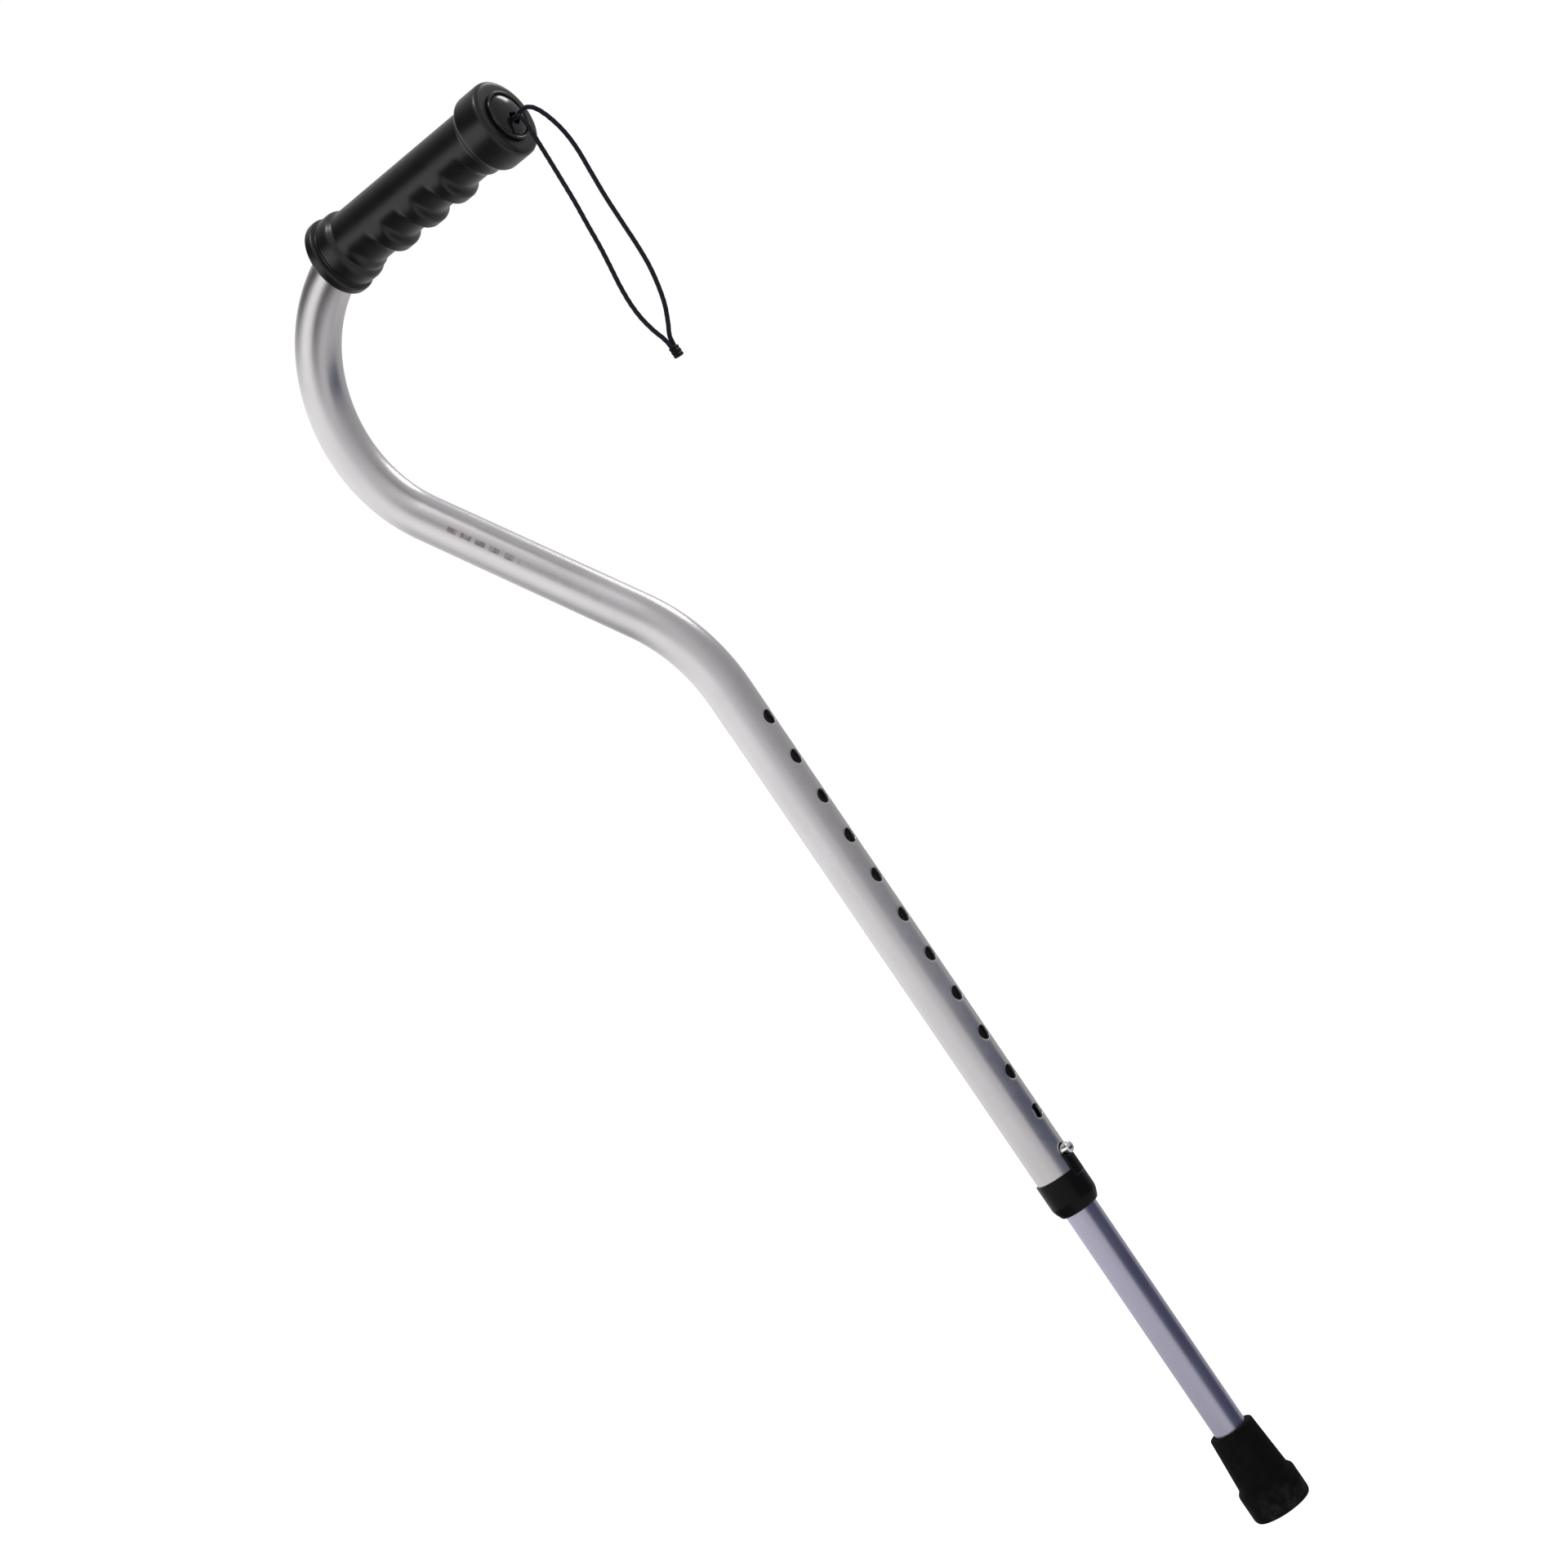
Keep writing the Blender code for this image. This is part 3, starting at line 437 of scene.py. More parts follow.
class Nodes:
    """A node tree, with short calls for its nodes."""

    def __init__(self, tree):
        self.tree = tree

    def feed(self, socket, value):
        if isinstance(value, bpy.types.NodeSocket):
            self.tree.links.new(value, socket)
        else:
            socket.default_value = value

    def node(self, kind, inputs=(), **settings):
        made = self.tree.nodes.new(kind)
        for key, value in settings.items():
            setattr(made, key, value)
        for key, value in dict(inputs).items():
            self.feed(made.inputs[key], value)
        return made

    def noise(self, vector, scale, detail=2.0, rough=0.5):
        inputs = {"Vector": vector, "Scale": scale, "Detail": detail, "Roughness": rough}
        return self.node("ShaderNodeTexNoise", inputs).outputs["Fac"]

    def cells(self, vector, scale, feature="DISTANCE_TO_EDGE"):
        inputs = {"Vector": vector, "Scale": scale}
        return self.node("ShaderNodeTexVoronoi", inputs, feature=feature).outputs["Distance"]

    def range(self, value, low, high, to_low=0.0, to_high=1.0):
        inputs = {"Value": value, "From Min": low, "From Max": high,
                  "To Min": to_low, "To Max": to_high}
        return self.node("ShaderNodeMapRange", inputs).outputs["Result"]

    def between(self, noise, low, high):
        """A value that follows a noise's usual range from low to high."""
        return self.range(noise, 0.3, 0.7, low, high)

    def math(self, operation, *values):
        """Joins the values two at a time, from the first."""
        total = values[0]
        for value in values[1:]:
            made = self.node("ShaderNodeMath", {0: total, 1: value}, operation=operation)
            total = made.outputs[0]
        return total

    def mix(self, amount, a, b):
        """Mixes two colours."""
        made = self.node("ShaderNodeMix", data_type="RGBA")
        self.feed(made.inputs[0], amount)
        self.feed(made.inputs[6], a)
        self.feed(made.inputs[7], b)
        return made.outputs[2]


class Finish(Nodes):
    """A material under construction."""

    def __init__(self, name, rgb, roughness, metallic=0.0):
        self.material = bpy.data.materials.new(name)
        self.material.use_nodes = True
        self.material.diffuse_color = (*rgb, 1.0)
        super().__init__(self.material.node_tree)
        self.shader = self.tree.nodes["Principled BSDF"]
        self.rgb = tuple(rgb)
        self.set("Base Color", (*rgb, 1.0))
        self.set("Roughness", roughness)
        self.set("Metallic", metallic)

    def set(self, socket, value):
        """Sets a socket of the shader, or links it."""
        self.feed(self.shader.inputs[socket], value)

    def objects(self):
        """Coordinates that move with the piece, in metres."""
        return self.node("ShaderNodeTexCoord").outputs["Object"]

    def lay(self):
        """Coordinates of (around, along) on the surface, in metres."""
        return self.node("ShaderNodeUVMap", uv_map=LAY).outputs["UV"]

    def scaled(self, vector, factors):
        return self.node("ShaderNodeMapping", {"Vector": vector, "Scale": factors}).outputs[0]

    def tinted(self, factor):
        """The finish's own colour, lighter or darker."""
        return (*[min(c * factor, 1.0) for c in self.rgb], 1.0)

    def mottled(self, noise, dark, pale):
        """The finish's own colour, from a darker to a paler tint with a noise."""
        return self.mix(noise, self.tinted(dark), self.tinted(pale))

    def edges(self, low=0.52, high=0.62):
        """1 on the outward edges of a finely meshed piece."""
        pointiness = self.node("ShaderNodeNewGeometry").outputs["Pointiness"]
        return self.range(pointiness, low, high)

    def bump(self, height, distance, strength=1.0, under=None):
        inputs = {"Height": height, "Distance": distance, "Strength": strength}
        if under is not None:
            inputs["Normal"] = under
        return self.node("ShaderNodeBump", inputs).outputs["Normal"]


def scuffs(finish, vector, scale, wear):
    """A sparse mask of fine scratches and rubs, stronger with wear."""
    patches = finish.range(finish.noise(vector, scale, 3.0), 0.50, 0.72)
    lines = finish.range(finish.cells(vector, scale * 9), 0.0, 0.018, 1.0, 0.0)
    return finish.math("MULTIPLY", patches, lines, wear)


def drawn_aluminium(name, rgb, roughness, wear):
    """Drawn tube: faint lines along it, cloudy roughness and a few scratches."""
    finish = Finish(name, rgb, roughness, 1.0)
    lay = finish.lay()
    lines = finish.noise(finish.scaled(lay, (2600, 22, 1)), 1.0, 4.0, 0.6)
    cloud = finish.noise(finish.objects(), 26.0, 3.0)
    scratches = scuffs(finish, finish.scaled(lay, (1, 0.35, 1)), 55.0, wear)
    finish.tone = finish.mix(scratches, finish.mottled(cloud, 0.93, 1.04), finish.tinted(0.70))
    finish.set("Base Color", finish.tone)
    gloss = finish.between(cloud, roughness - 0.03, roughness + 0.05)
    streaks = finish.between(lines, -0.03, 0.04)
    worn = finish.math("MULTIPLY", scratches, 0.25)
    finish.set("Roughness", finish.math("ADD", gloss, streaks, worn))
    fine = finish.bump(lines, 0.000012, 0.5)
    finish.set("Normal", finish.bump(scratches, 0.00002, -0.4, fine))
    return finish


DASH_STEP = 2.0                   # from one dash to the next, in heights of the row
DASH_RISE = (0.22, 0.36)          # half the height of a dash, in heights of the row
DASH_FILL = (0.85, 0.60)          # length of a dash, in steps
DASH_INK = (0.40, 0.95)           # strength of the ink in the lower and in the upper half


def printed_dashes(finish, ink, middle, height, start, end):
    """A row of plain printed dashes along the slope, paler towards the shaft."""
    parts = finish.node("ShaderNodeSeparateXYZ", {"Vector": finish.lay()}).outputs
    across = finish.math("ABSOLUTE", finish.math("SUBTRACT", parts["X"], middle), 0.0)
    step = height * DASH_STEP
    place = finish.math("DIVIDE", finish.math("SUBTRACT", parts["Y"], start), step)
    random = finish.node("ShaderNodeTexWhiteNoise", {"W": finish.math("FLOOR", place, 0.0)},
                         noise_dimensions="1D").outputs["Value"]
    tall = finish.range(random, 0.0, 1.0, height * DASH_RISE[0], height * DASH_RISE[1])
    inked = finish.math("LESS_THAN", across, tall)
    filled = finish.math("LESS_THAN", finish.math("FRACT", place, 0.0),
                         finish.range(random, 0.0, 1.0, *DASH_FILL))
    after = finish.math("GREATER_THAN", parts["Y"], start)
    before = finish.math("LESS_THAN", parts["Y"], end)
    half = (start + end) / 2
    strength = finish.range(parts["Y"], half, half + step, *DASH_INK)
    rubbed = finish.range(finish.noise(finish.objects(), 260.0, 2.0), 0.30, 0.55, 0.6, 1.0)
    mask = finish.math("MULTIPLY", inked, filled, after, before, rubbed, strength)
    finish.set("Base Color", finish.mix(mask, finish.tone, (*ink, 1.0)))
    finish.set("Metallic", finish.range(mask, 0.0, 1.0, 1.0, 0.1))


def plain_metal(name, rgb, roughness, wear):
    finish = Finish(name, rgb, roughness, 1.0)
    places = finish.objects()
    cloud = finish.noise(places, 320.0, 3.0)
    finish.set("Base Color", finish.mottled(cloud, 0.9, 1.06))
    finish.set("Roughness", finish.between(cloud, roughness - 0.04, roughness + 0.1 * wear))
    finish.set("Normal", finish.bump(finish.noise(places, 2400.0, 2.0), 0.00001, 0.3))
    return finish


def moulded(name, rgb, roughness, wear, grain=1800.0, depth=0.00002):
    """A moulded dark plastic: fine grain, hazy patches, paler rubbed edges."""
    finish = Finish(name, rgb, roughness)
    places = finish.objects()
    haze = finish.noise(places, 60.0, 4.0)
    grained = finish.noise(places, grain, 2.0)
    rubbed = finish.math("MULTIPLY", finish.edges(), finish.range(haze, 0.42, 0.6, 0.0, wear))
    finish.tone = finish.mix(rubbed, finish.mottled(haze, 0.85, 1.3), finish.tinted(4.0))
    finish.set("Base Color", finish.tone)
    gloss = finish.between(haze, roughness - 0.03, roughness + 0.06)
    finish.set("Roughness", finish.math("ADD", gloss, finish.math("MULTIPLY", rubbed, 0.15)))
    finish.set("Normal", finish.bump(grained, depth, 0.35))
    finish.set("Specular IOR Level", 0.12)
    return finish


def glossy_vinyl(name, rgb, wear):
    """Dipped vinyl: a soft gloss with a faint orange peel, duller where a palm rubs it."""
    finish = moulded(name, rgb, 0.30, wear)
    places = finish.objects()
    peel = finish.noise(places, 420.0, 2.0)
    fine = finish.noise(places, 2600.0, 2.0)
    specks = finish.range(finish.cells(places, 700.0, "F1"), 0.0, 0.10, 1.0, 0.0)
    dust = finish.math("MULTIPLY", specks, 0.10 * wear)
    finish.set("Base Color", finish.mix(dust, finish.tone, (0.10, 0.10, 0.095, 1.0)))
    finish.set("Normal", finish.bump(fine, 0.00001, 0.3, finish.bump(peel, 0.00005, 0.35)))
    finish.set("Specular IOR Level", 0.5)
    return finish


def worn_rubber(name, rgb, wear, foot):
    """Matte rubber: mould grain, and dusty scuffs that thicken towards the ground."""
    finish = Finish(name, rgb, 0.78)
    places = finish.objects()
    height = finish.node("ShaderNodeSeparateXYZ", {"Vector": places}).outputs["Z"]
    low = finish.range(height, 0.0, foot, 1.0, 0.12)
    patches = finish.range(finish.noise(places, 130.0, 5.0, 0.65), 0.46, 0.66)
    dust = finish.math("MULTIPLY", patches, low, wear)
    edge = finish.math("MULTIPLY", finish.edges(), 0.5 * wear)
    marks = finish.math("MAXIMUM", dust, edge)
    shade = finish.math("MULTIPLY", marks, 0.35)
    finish.set("Base Color", finish.mix(shade, (*rgb, 1.0), (0.085, 0.080, 0.074, 1.0)))
    finish.set("Roughness", finish.range(marks, 0.0, 1.0, 0.70, 0.92))
    grain = finish.noise(places, 1500.0, 4.0)
    finish.set("Normal", finish.bump(grain, 0.00006, 0.5))
    finish.set("Specular IOR Level", 0.06)
    return finish


def plaited_cord(name, rgb):
    """Fine fibres laid along the strand, with a soft sheen."""
    finish = Finish(name, rgb, 0.62)
    lay = finish.lay()
    fibres = finish.noise(finish.scaled(lay, (5200, 1400, 1)), 1.0, 3.0, 0.6)
    blotch = finish.noise(finish.objects(), 210.0, 2.0)
    raised = finish.range(fibres, 0.55, 0.8, 0.0, 0.5)
    finish.set("Base Color", finish.mix(raised, finish.mottled(blotch, 0.7, 1.5),
                                        finish.tinted(3.0)))
    finish.set("Normal", finish.bump(fibres, 0.00005, 0.6))
    finish.set("Specular IOR Level", 0.2)
    finish.set("Sheen Weight", 0.05)
    finish.set("Sheen Roughness", 0.4)
    return finish


def nylon(name, rgb):
    finish = Finish(name, rgb, 0.48)
    places = finish.objects()
    cloud = finish.noise(places, 160.0, 3.0)
    finish.set("Base Color", finish.mottled(cloud, 0.94, 1.04))
    finish.set("Roughness", finish.between(cloud, 0.42, 0.56))
    finish.set("Normal", finish.bump(finish.noise(places, 1300.0, 2.0), 0.00003, 0.3))
    finish.set("Subsurface Weight", 0.08)
    finish.set("Subsurface Scale", 0.001)
    return finish


# ---- the bent tube's centreline -----------------------------------------------------------------


class Station:
    """A place on a tube's centreline: distance along it, centre and heading off the vertical."""

    def __init__(self, along, centre, heading):
        self.along = along
        self.centre = centre
        self.heading = heading

    def tangent(self):
        return Vector((-math.sin(self.heading), 0, math.cos(self.heading)))

    def side(self):
        """The in-plane direction that points along +X on the upright shaft."""
        return Vector((math.cos(self.heading), 0, math.sin(self.heading)))

    def rim(self, radius, turn):
        """A place at a radius round the centreline, a turn away from the side."""
        across = self.side() * math.cos(turn) + Vector((0, math.sin(turn), 0))
        return self.centre + radius * across

    def straight(self, distance):
        return Station(self.along + distance, self.centre + self.tangent() * distance, self.heading)

    def bent(self, radius, turn):
        """The station after a bend of a radius through a turn, which is positive towards -X."""
        middle = self.centre - math.copysign(radius, turn) * self.side()
        heading = self.heading + turn
        ahead = Station(self.along + radius * abs(turn), middle, heading)
        ahead.centre = middle + math.copysign(radius, turn) * ahead.side()
        return ahead


def bend(start, radius, turn):
    """Stations round a bend, without its first."""
    steps = max(2, round(abs(turn) / BEND_STEP))
    return [start.bent(radius, turn * (i + 1) / steps) for i in range(steps)]


def straight_shaft(z):
    return Station(z - TUBE_LOW.z, Vector((0, 0, z)), 0.0)


def slope_start(tubes):
    return straight_shaft(tubes.shaft_top).bent(tubes.shaft_bend, tubes.lean)


def above_shaft(tubes):
    """Stations from the top of the shaft to the tube's end inside the grip."""
    line = bend(straight_shaft(tubes.shaft_top), tubes.shaft_bend, tubes.lean)
    line.append(line[-1].straight(tubes.slope))
    line += bend(line[-1], tubes.neck_bend, -(math.pi / 2 + tubes.lean))
    line.append(line[-1].straight(tubes.level))
    return line


# ---- tubes with holes ---------------------------------------------------------------------------
PATCH_TURN = math.pi / 4          # half of the turn that a hole's patch covers
PATCH_COLUMNS = 16
PATCH_ROWS = 10
TUBE_COLUMNS = 64                 # quads round a tube, a quarter of them in a patch
HOLE_RINGS = (0.0, 0.12, 0.32, 0.62, 1.0)   # shares of the way from a hole's edge to its patch's
EDGE_MIDDLE = (0.35, 0.3)         # width and depth halfway round a hole's edge, in eases
MOUTH_EASE = 0.6                  # width of the broken edges at a tube's mouth, in eases
LONE_PATCH = 6                    # height of a lone hole's patch, in its radii


def patch_border(half_height):
    """(turn, height) points round a hole's patch, from its lower right corner."""
    turns = spread(-PATCH_TURN, PATCH_TURN, PATCH_COLUMNS)
    heights = spread(-half_height, half_height, PATCH_ROWS)
    border = [(PATCH_TURN, z) for z in heights]
    border += [(t, half_height) for t in reversed(turns[:-1])]
    border += [(-PATCH_TURN, z) for z in reversed(heights[:-1])]
    border += [(t, -half_height) for t in turns[1:]]
    return border


def hole_ring(border, tube_radius, hole_radius, z, depth=0.0):
    """The hole's edge on a tube's surface, one point for each of the border's."""
    ring = []
    for turn, height in border:
        way = math.atan2(height, tube_radius * turn)
        y = hole_radius * math.cos(way)
        rise = hole_radius * math.sin(way)
        x = math.sqrt((tube_radius - depth) ** 2 - y * y)
        ring.append((Vector((x, y, z + rise)), (math.atan2(y, x), rise)))
    return ring


def drilled_patch(surface, tube_radius, hole_radius, low, high, z):
    """A patch of a tube's surface from low to high, with a hole at z. Returns its border."""
    middle, half = (low + high) / 2, (high - low) / 2
    border = [(turn, height + middle - z) for turn, height in patch_border(half)]
    edge = hole_ring(border, tube_radius, hole_radius, z)
    rows = []
    for way in HOLE_RINGS:
        row = []
        for (_, (turn0, rise0)), (turn1, rise1) in zip(edge, border):
            turn = turn0 + (turn1 - turn0) * way
            rise = rise0 + (rise1 - rise0) * way
            place = Vector((tube_radius * math.cos(turn), tube_radius * math.sin(turn), z + rise))
            row.append((place, (turn * tube_radius, z + rise - TUBE_LOW.z)))
        rows.append(row)
    surface.grid(rows)
    return border


def drilled_hole(surface, border_out, border_in, radii, hole_radius, ease, z):
    """The eased edge and the wall of a hole, from the outer surface to the bore."""
    outer, bore = radii
    rows = [
        hole_ring(border_out, outer, hole_radius + ease, z),
        hole_ring(border_out, outer, hole_radius + EDGE_MIDDLE[0] * ease, z, EDGE_MIDDLE[1] * ease),
        hole_ring(border_out, outer, hole_radius, z, ease),
        hole_ring(border_in, bore, hole_radius, z),
    ]
    walls = [[(place, (turn * outer, rise + z - TUBE_LOW.z)) for place, (turn, rise) in row]
             for row in rows]
    surface.grid(walls)


def tube_rows(stations, radius, turns):
    return [[(station.rim(radius, t), (t * radius, station.along)) for t in turns]
            for station in stations]


def drilled_tube(name, material, radii, ends, holes, hole_radius, ease, beyond=()):
    """A tube up +Z with holes along +X, which may run on along other stations."""
    outer, bore = radii
    foot, top = ends
    surface = Surface()
    step = holes[1] - holes[0] if len(holes) > 1 else LONE_PATCH * hole_radius
    lows = [z - step / 2 for z in holes]
    front = spread(-PATCH_TURN, PATCH_TURN, PATCH_COLUMNS)
    back = spread(PATCH_TURN, TURN - PATCH_TURN, TUBE_COLUMNS - PATCH_COLUMNS)
    broken = MOUTH_EASE * ease
    under = [straight_shaft(foot + broken), straight_shaft(lows[0])]
    over = [straight_shaft(lows[-1] + step), straight_shaft(top)] + list(beyond)
    last = over[-1]
    mouth = ((broken, outer), (0.0, outer - broken), (0.0, bore + broken), (broken, bore))
    for turns in (front, back):
        for radius in radii:
            surface.grid(tube_rows(under, radius, turns))
            surface.grid(tube_rows(over, radius, turns))
        surface.grid([[(straight_shaft(foot + rise).rim(radius, t), (t * outer, -ease * i))
                       for t in turns] for i, (rise, radius) in enumerate(mouth)])
        surface.grid([[(last.rim(radius, t), (t * radius, last.along)) for t in turns]
                      for radius in radii])
    for z, low in zip(holes, lows):
        around = [straight_shaft(h) for h in spread(low, low + step, PATCH_ROWS)]
        for radius in radii:
            surface.grid(tube_rows(around, radius, back))
        border_out = drilled_patch(surface, outer, hole_radius + ease, low, low + step, z)
        border_in = drilled_patch(surface, bore, hole_radius, low, low + step, z)
        drilled_hole(surface, border_out, border_in, radii, hole_radius, ease, z)
    return surface.piece(name, material)


# ---- pieces -------------------------------------------------------------------------------------


class CANE_OT_upper_tube(bpy.types.Operator):
    """Make the bent upper tube with its height holes and printed dashes"""

    bl_idname = "cane.upper_tube"
    bl_label = "Upper Tube"

    def execute(self, context):
        tubes = context.scene.cane_tubes
        tones = context.scene.cane_colours
        finish = drawn_aluminium("satin_aluminium", tones.satin, 0.33, tones.wear)
        start = slope_start(tubes).along + tubes.print_start
        printed_dashes(finish, tones.ink, tubes.print_turn * tubes.upper_radius,
                       tubes.print_height, start, start + tubes.print_length)
        holes = [BUTTON_Z + tubes.hole_pitch * i for i in range(tubes.hole_count)]
        radii = (tubes.upper_radius, tubes.upper_radius - tubes.upper_wall)
        tube = drilled_tube("bent_tube", finish.material, radii, (TUBE_LOW.z, tubes.shaft_top),
                            holes, tubes.hole_radius, tubes.hole_ease, above_shaft(tubes))
        settle(tube, "handle_frame", "satin_aluminium", "upper_tube")
        return {"FINISHED"}


class CANE_OT_lower_tube(bpy.types.Operator):
    """Make the straight lower tube with the hole for its snap button"""

    bl_idname = "cane.lower_tube"
    bl_label = "Lower Tube"

    def execute(self, context):
        tubes = context.scene.cane_tubes
        lock = context.scene.cane_lock
        tones = context.scene.cane_colours
        finish = drawn_aluminium("bright_aluminium", tones.bright, 0.30, tones.wear)
        radii = (tubes.lower_radius, tubes.lower_radius - tubes.lower_wall)
        tube = drilled_tube("leg_tube", finish.material, radii, (LEG_LOW.z, LEG_HIGH.z),
                            [BUTTON_Z], lock.button + lock.button_gap, tubes.hole_ease)
        settle(tube, "lower_leg", "bright_aluminium", "lower_tube")
        return {"FINISHED"}


# Places along the grip, from its mouth or, where the name says so, back from its free end.
MOUTH_FLANGE = 0.0056
GROOVE = (0.0066, 0.0078)
RIB = (0.0086, 0.0158)
BODY = 0.0186
BODY_FROM_END = 0.0205
FLANGE_FROM_END = 0.0168
RELIEF = 0.0200                   # where the closely spaced rows of the finger relief start
RELIEF_FROM_END = 0.0236
RELIEF_ROWS = 110
FACE = (0.0060, 0.0070)           # width of the flat face at the mouth and at the free end
RIDGE_FLAT = 0.0026               # half of a finger ridge's flat top
RIDGE_HALF = 0.0074               # half of its width at the base
HOLLOW_FLAT = 0.0050              # from the hollow's outer limits in to where its floor is flat
HOLLOW_EDGE = 0.0005              # from the same limits in to where it starts
UNDER_START = 0.05                # sine of the turn where the relief starts, down the sides
UNDER_SPAN = 0.85                 # and how far that sine falls until it is full


def grip_outline(grip):
    """(distance from the mouth, radius) of the turned grip, eased at its corners."""
    end = GRIP_HIGH.x - GRIP_LOW.x
    return eased([
        (0.0, grip.flange - FACE[0], 0), (0.0, grip.flange, 0.0020),
        (MOUTH_FLANGE, grip.flange, 0.0016),
        (GROOVE[0], grip.notch, 0.0004), (GROOVE[1], grip.notch, 0.0004),
        (RIB[0], grip.rib, 0.0010), (RIB[1], grip.rib, 0.0022),
        (BODY, grip.body, 0.0022), (RELIEF, grip.body, 0),
        (end - RELIEF_FROM_END, grip.body, 0), (end - BODY_FROM_END, grip.body, 0.0026),
        (end - FLANGE_FROM_END, grip.flange, 0.0020), (end, grip.flange, 0.0034),
        (end, grip.flange - FACE[1], 0),
    ])


def finger_relief(grip, distance):
    """Finger ridges and hollows along the underside, past the plain body."""
    ridges = sum(swell(distance, grip.first_ridge + grip.ridge_pitch * i, RIDGE_FLAT, RIDGE_HALF)
                 for i in range(grip.ridge_count))
    first = grip.first_ridge - grip.ridge_pitch
    last = grip.first_ridge + grip.ridge_pitch * grip.ridge_count
    half = (last - first) / 2
    hollow = swell(distance, (first + last) / 2, half - HOLLOW_FLAT, half - HOLLOW_EDGE)
    return (grip.ridge_height + grip.hollow_depth) * ridges - grip.hollow_depth * hollow


def underside(turn):
    """0 round the top and the sides of the grip, rising to 1 underneath."""
    return smooth((UNDER_START - math.sin(turn)) / UNDER_SPAN)


class CANE_OT_handle_grip(bpy.types.Operator):
    """Make the vinyl grip with its flanges and finger ridges"""

    bl_idname = "cane.handle_grip"
    bl_label = "Handle Grip"

    def execute(self, context):
        grip = context.scene.cane_grip
        tubes = context.scene.cane_tubes
        tones = context.scene.cane_colours
        outline = grip_outline(grip)
        split = next(i for i, p in enumerate(outline) if p.x > RELIEF - WELD)
        between = spread(outline[split].x, outline[split + 1].x, RELIEF_ROWS)[1:-1]
        outline[split + 1:split + 1] = [Vector((x, grip.body)) for x in between]
        turns = spread(0.0, TURN, SIDES)
        rows = []
        for point in outline:
            relief = finger_relief(grip, point.x)
            row = []
            for t in turns:
                radius = point.y + underside(t) * relief
                place = Vector((GRIP_LOW.x + point.x, radius * math.cos(t),
                                PLUG_Z + radius * math.sin(t)))
                row.append((place, (t * grip.body, point.x)))
            rows.append(row)
        rows += self.bore(grip, tubes, turns)
        rows.append(rows[0])
        surface = Surface()
        surface.grid(rows)
        finish = glossy_vinyl("black_vinyl", tones.vinyl, tones.wear)
        piece = surface.piece("moulded_grip", finish.material)
        settle(piece, "handle_frame", "black_vinyl", "handle_grip")
        return {"FINISHED"}

    def bore(self, grip, tubes, turns):
        """Rings of the bore, which follows the tube, from the free end to the mouth."""
        radius = tubes.upper_radius + grip.fit
        line = [s for s in above_shaft(tubes) if s.centre.x > GRIP_LOW.x and s.heading < 0]
        last = line[-1]
        line.append(last.straight(GRIP_HIGH.x - last.centre.x))
        rows = []
        for station in reversed(line):
            up = -station.side()
            row = []
            for t in turns:
                out = Vector((0, math.cos(t), 0)) + up * math.sin(t)
                row.append((station.centre + radius * out, (t * radius, station.along)))
            rows.append(row)
        ahead = line[0].tangent()
        rows[-1] = [(place + ahead * ((GRIP_LOW.x - place.x) / ahead.x), lay)
                    for place, lay in rows[-1]]
        return rows


class CANE_OT_end_plug(bpy.types.Operator):
    """Make the domed plug in the grip's free end"""

    bl_idname = "cane.end_plug"
    bl_label = "End Plug"

    def execute(self, context):
        grip = context.scene.cane_grip
        tubes = context.scene.cane_tubes
        tones = context.scene.cane_colours
        face = GRIP_HIGH.x + grip.fit
        head = PLUG_HIGH.z - PLUG_Z
        shank = tubes.upper_radius - tubes.upper_wall - grip.fit
        inner = head - grip.plug_rim
        back = PLUG_LOW.x - face
        seat, groove, rim_rise = 0.0006, 0.0004, 0.0018
        dome = [Vector((inner * math.sin(t), seat + (grip.plug_dome - seat) * math.cos(t)))
                for t in spread(0.0, math.radians(84), 24)]
        rim = eased([
            (inner, seat, 0), (inner + 0.0003, groove, 0.0002), (inner + 0.0006, rim_rise, 0.0006),
            (head, rim_rise, 0.0010), (head, 0.0, 0.0002), (shank, 0.0, 0.0003),
            (shank, back, 0.0006), (0.0, back, 0),
        ])
        finish = moulded("glossy_plastic", tones.plastic, 0.14, tones.wear, 900.0, 0.00001)
        finish.set("Specular IOR Level", 0.5)
        plug = turned("domed_plug", dome + rim, finish.material, along_x(face, PLUG_Z))
        off_seam = Matrix.Rotation(math.radians(3), 4, "Z")
        # The cutter is a flared mouth, the cord's hole and the knot's pocket.
        front, ceiling, behind = 0.006, -0.0042, back - 0.002
        pocket = KNOT_HIGH.z - KNOT_Z + 0.0008
        hole = turned("cord_hole", eased([
            (0.0, front, 0), (grip.cord_hole + 0.0030, front, 0),
            (grip.cord_hole + 0.0005, 0.0032, 0.001), (grip.cord_hole, 0.0024, 0.0006),
            (grip.cord_hole, ceiling, 0.0002), (pocket, ceiling, 0.0002),
            (pocket, behind, 0), (0.0, behind, 0),
        ]), finish.material, along_x(face, KNOT_Z) @ off_seam, SMALL_SIDES)
        cut(plug, hole)
        settle(plug, "handle_frame", "black_plastic", "grip_end_plug")
        return {"FINISHED"}


# ---- the wrist cord -----------------------------------------------------------------------------


def smooth_curve(knots, steps=16):
    """Points of the smooth curve through the knots."""
    ends = [2 * knots[0] - knots[1]] + knots + [2 * knots[-1] - knots[-2]]
    fine = []
    for i in range(len(knots) - 1):
        a, b, c, d = ends[i:i + 4]
        for t in spread(0.0, 1.0, steps)[:-1]:
            fine.append(0.5 * ((2 * b) + (c - a) * t + (2 * a - 5 * b + 4 * c - d) * t * t
                               + (3 * b - a - 3 * c + d) * t ** 3))
    fine.append(knots[-1])
    return fine


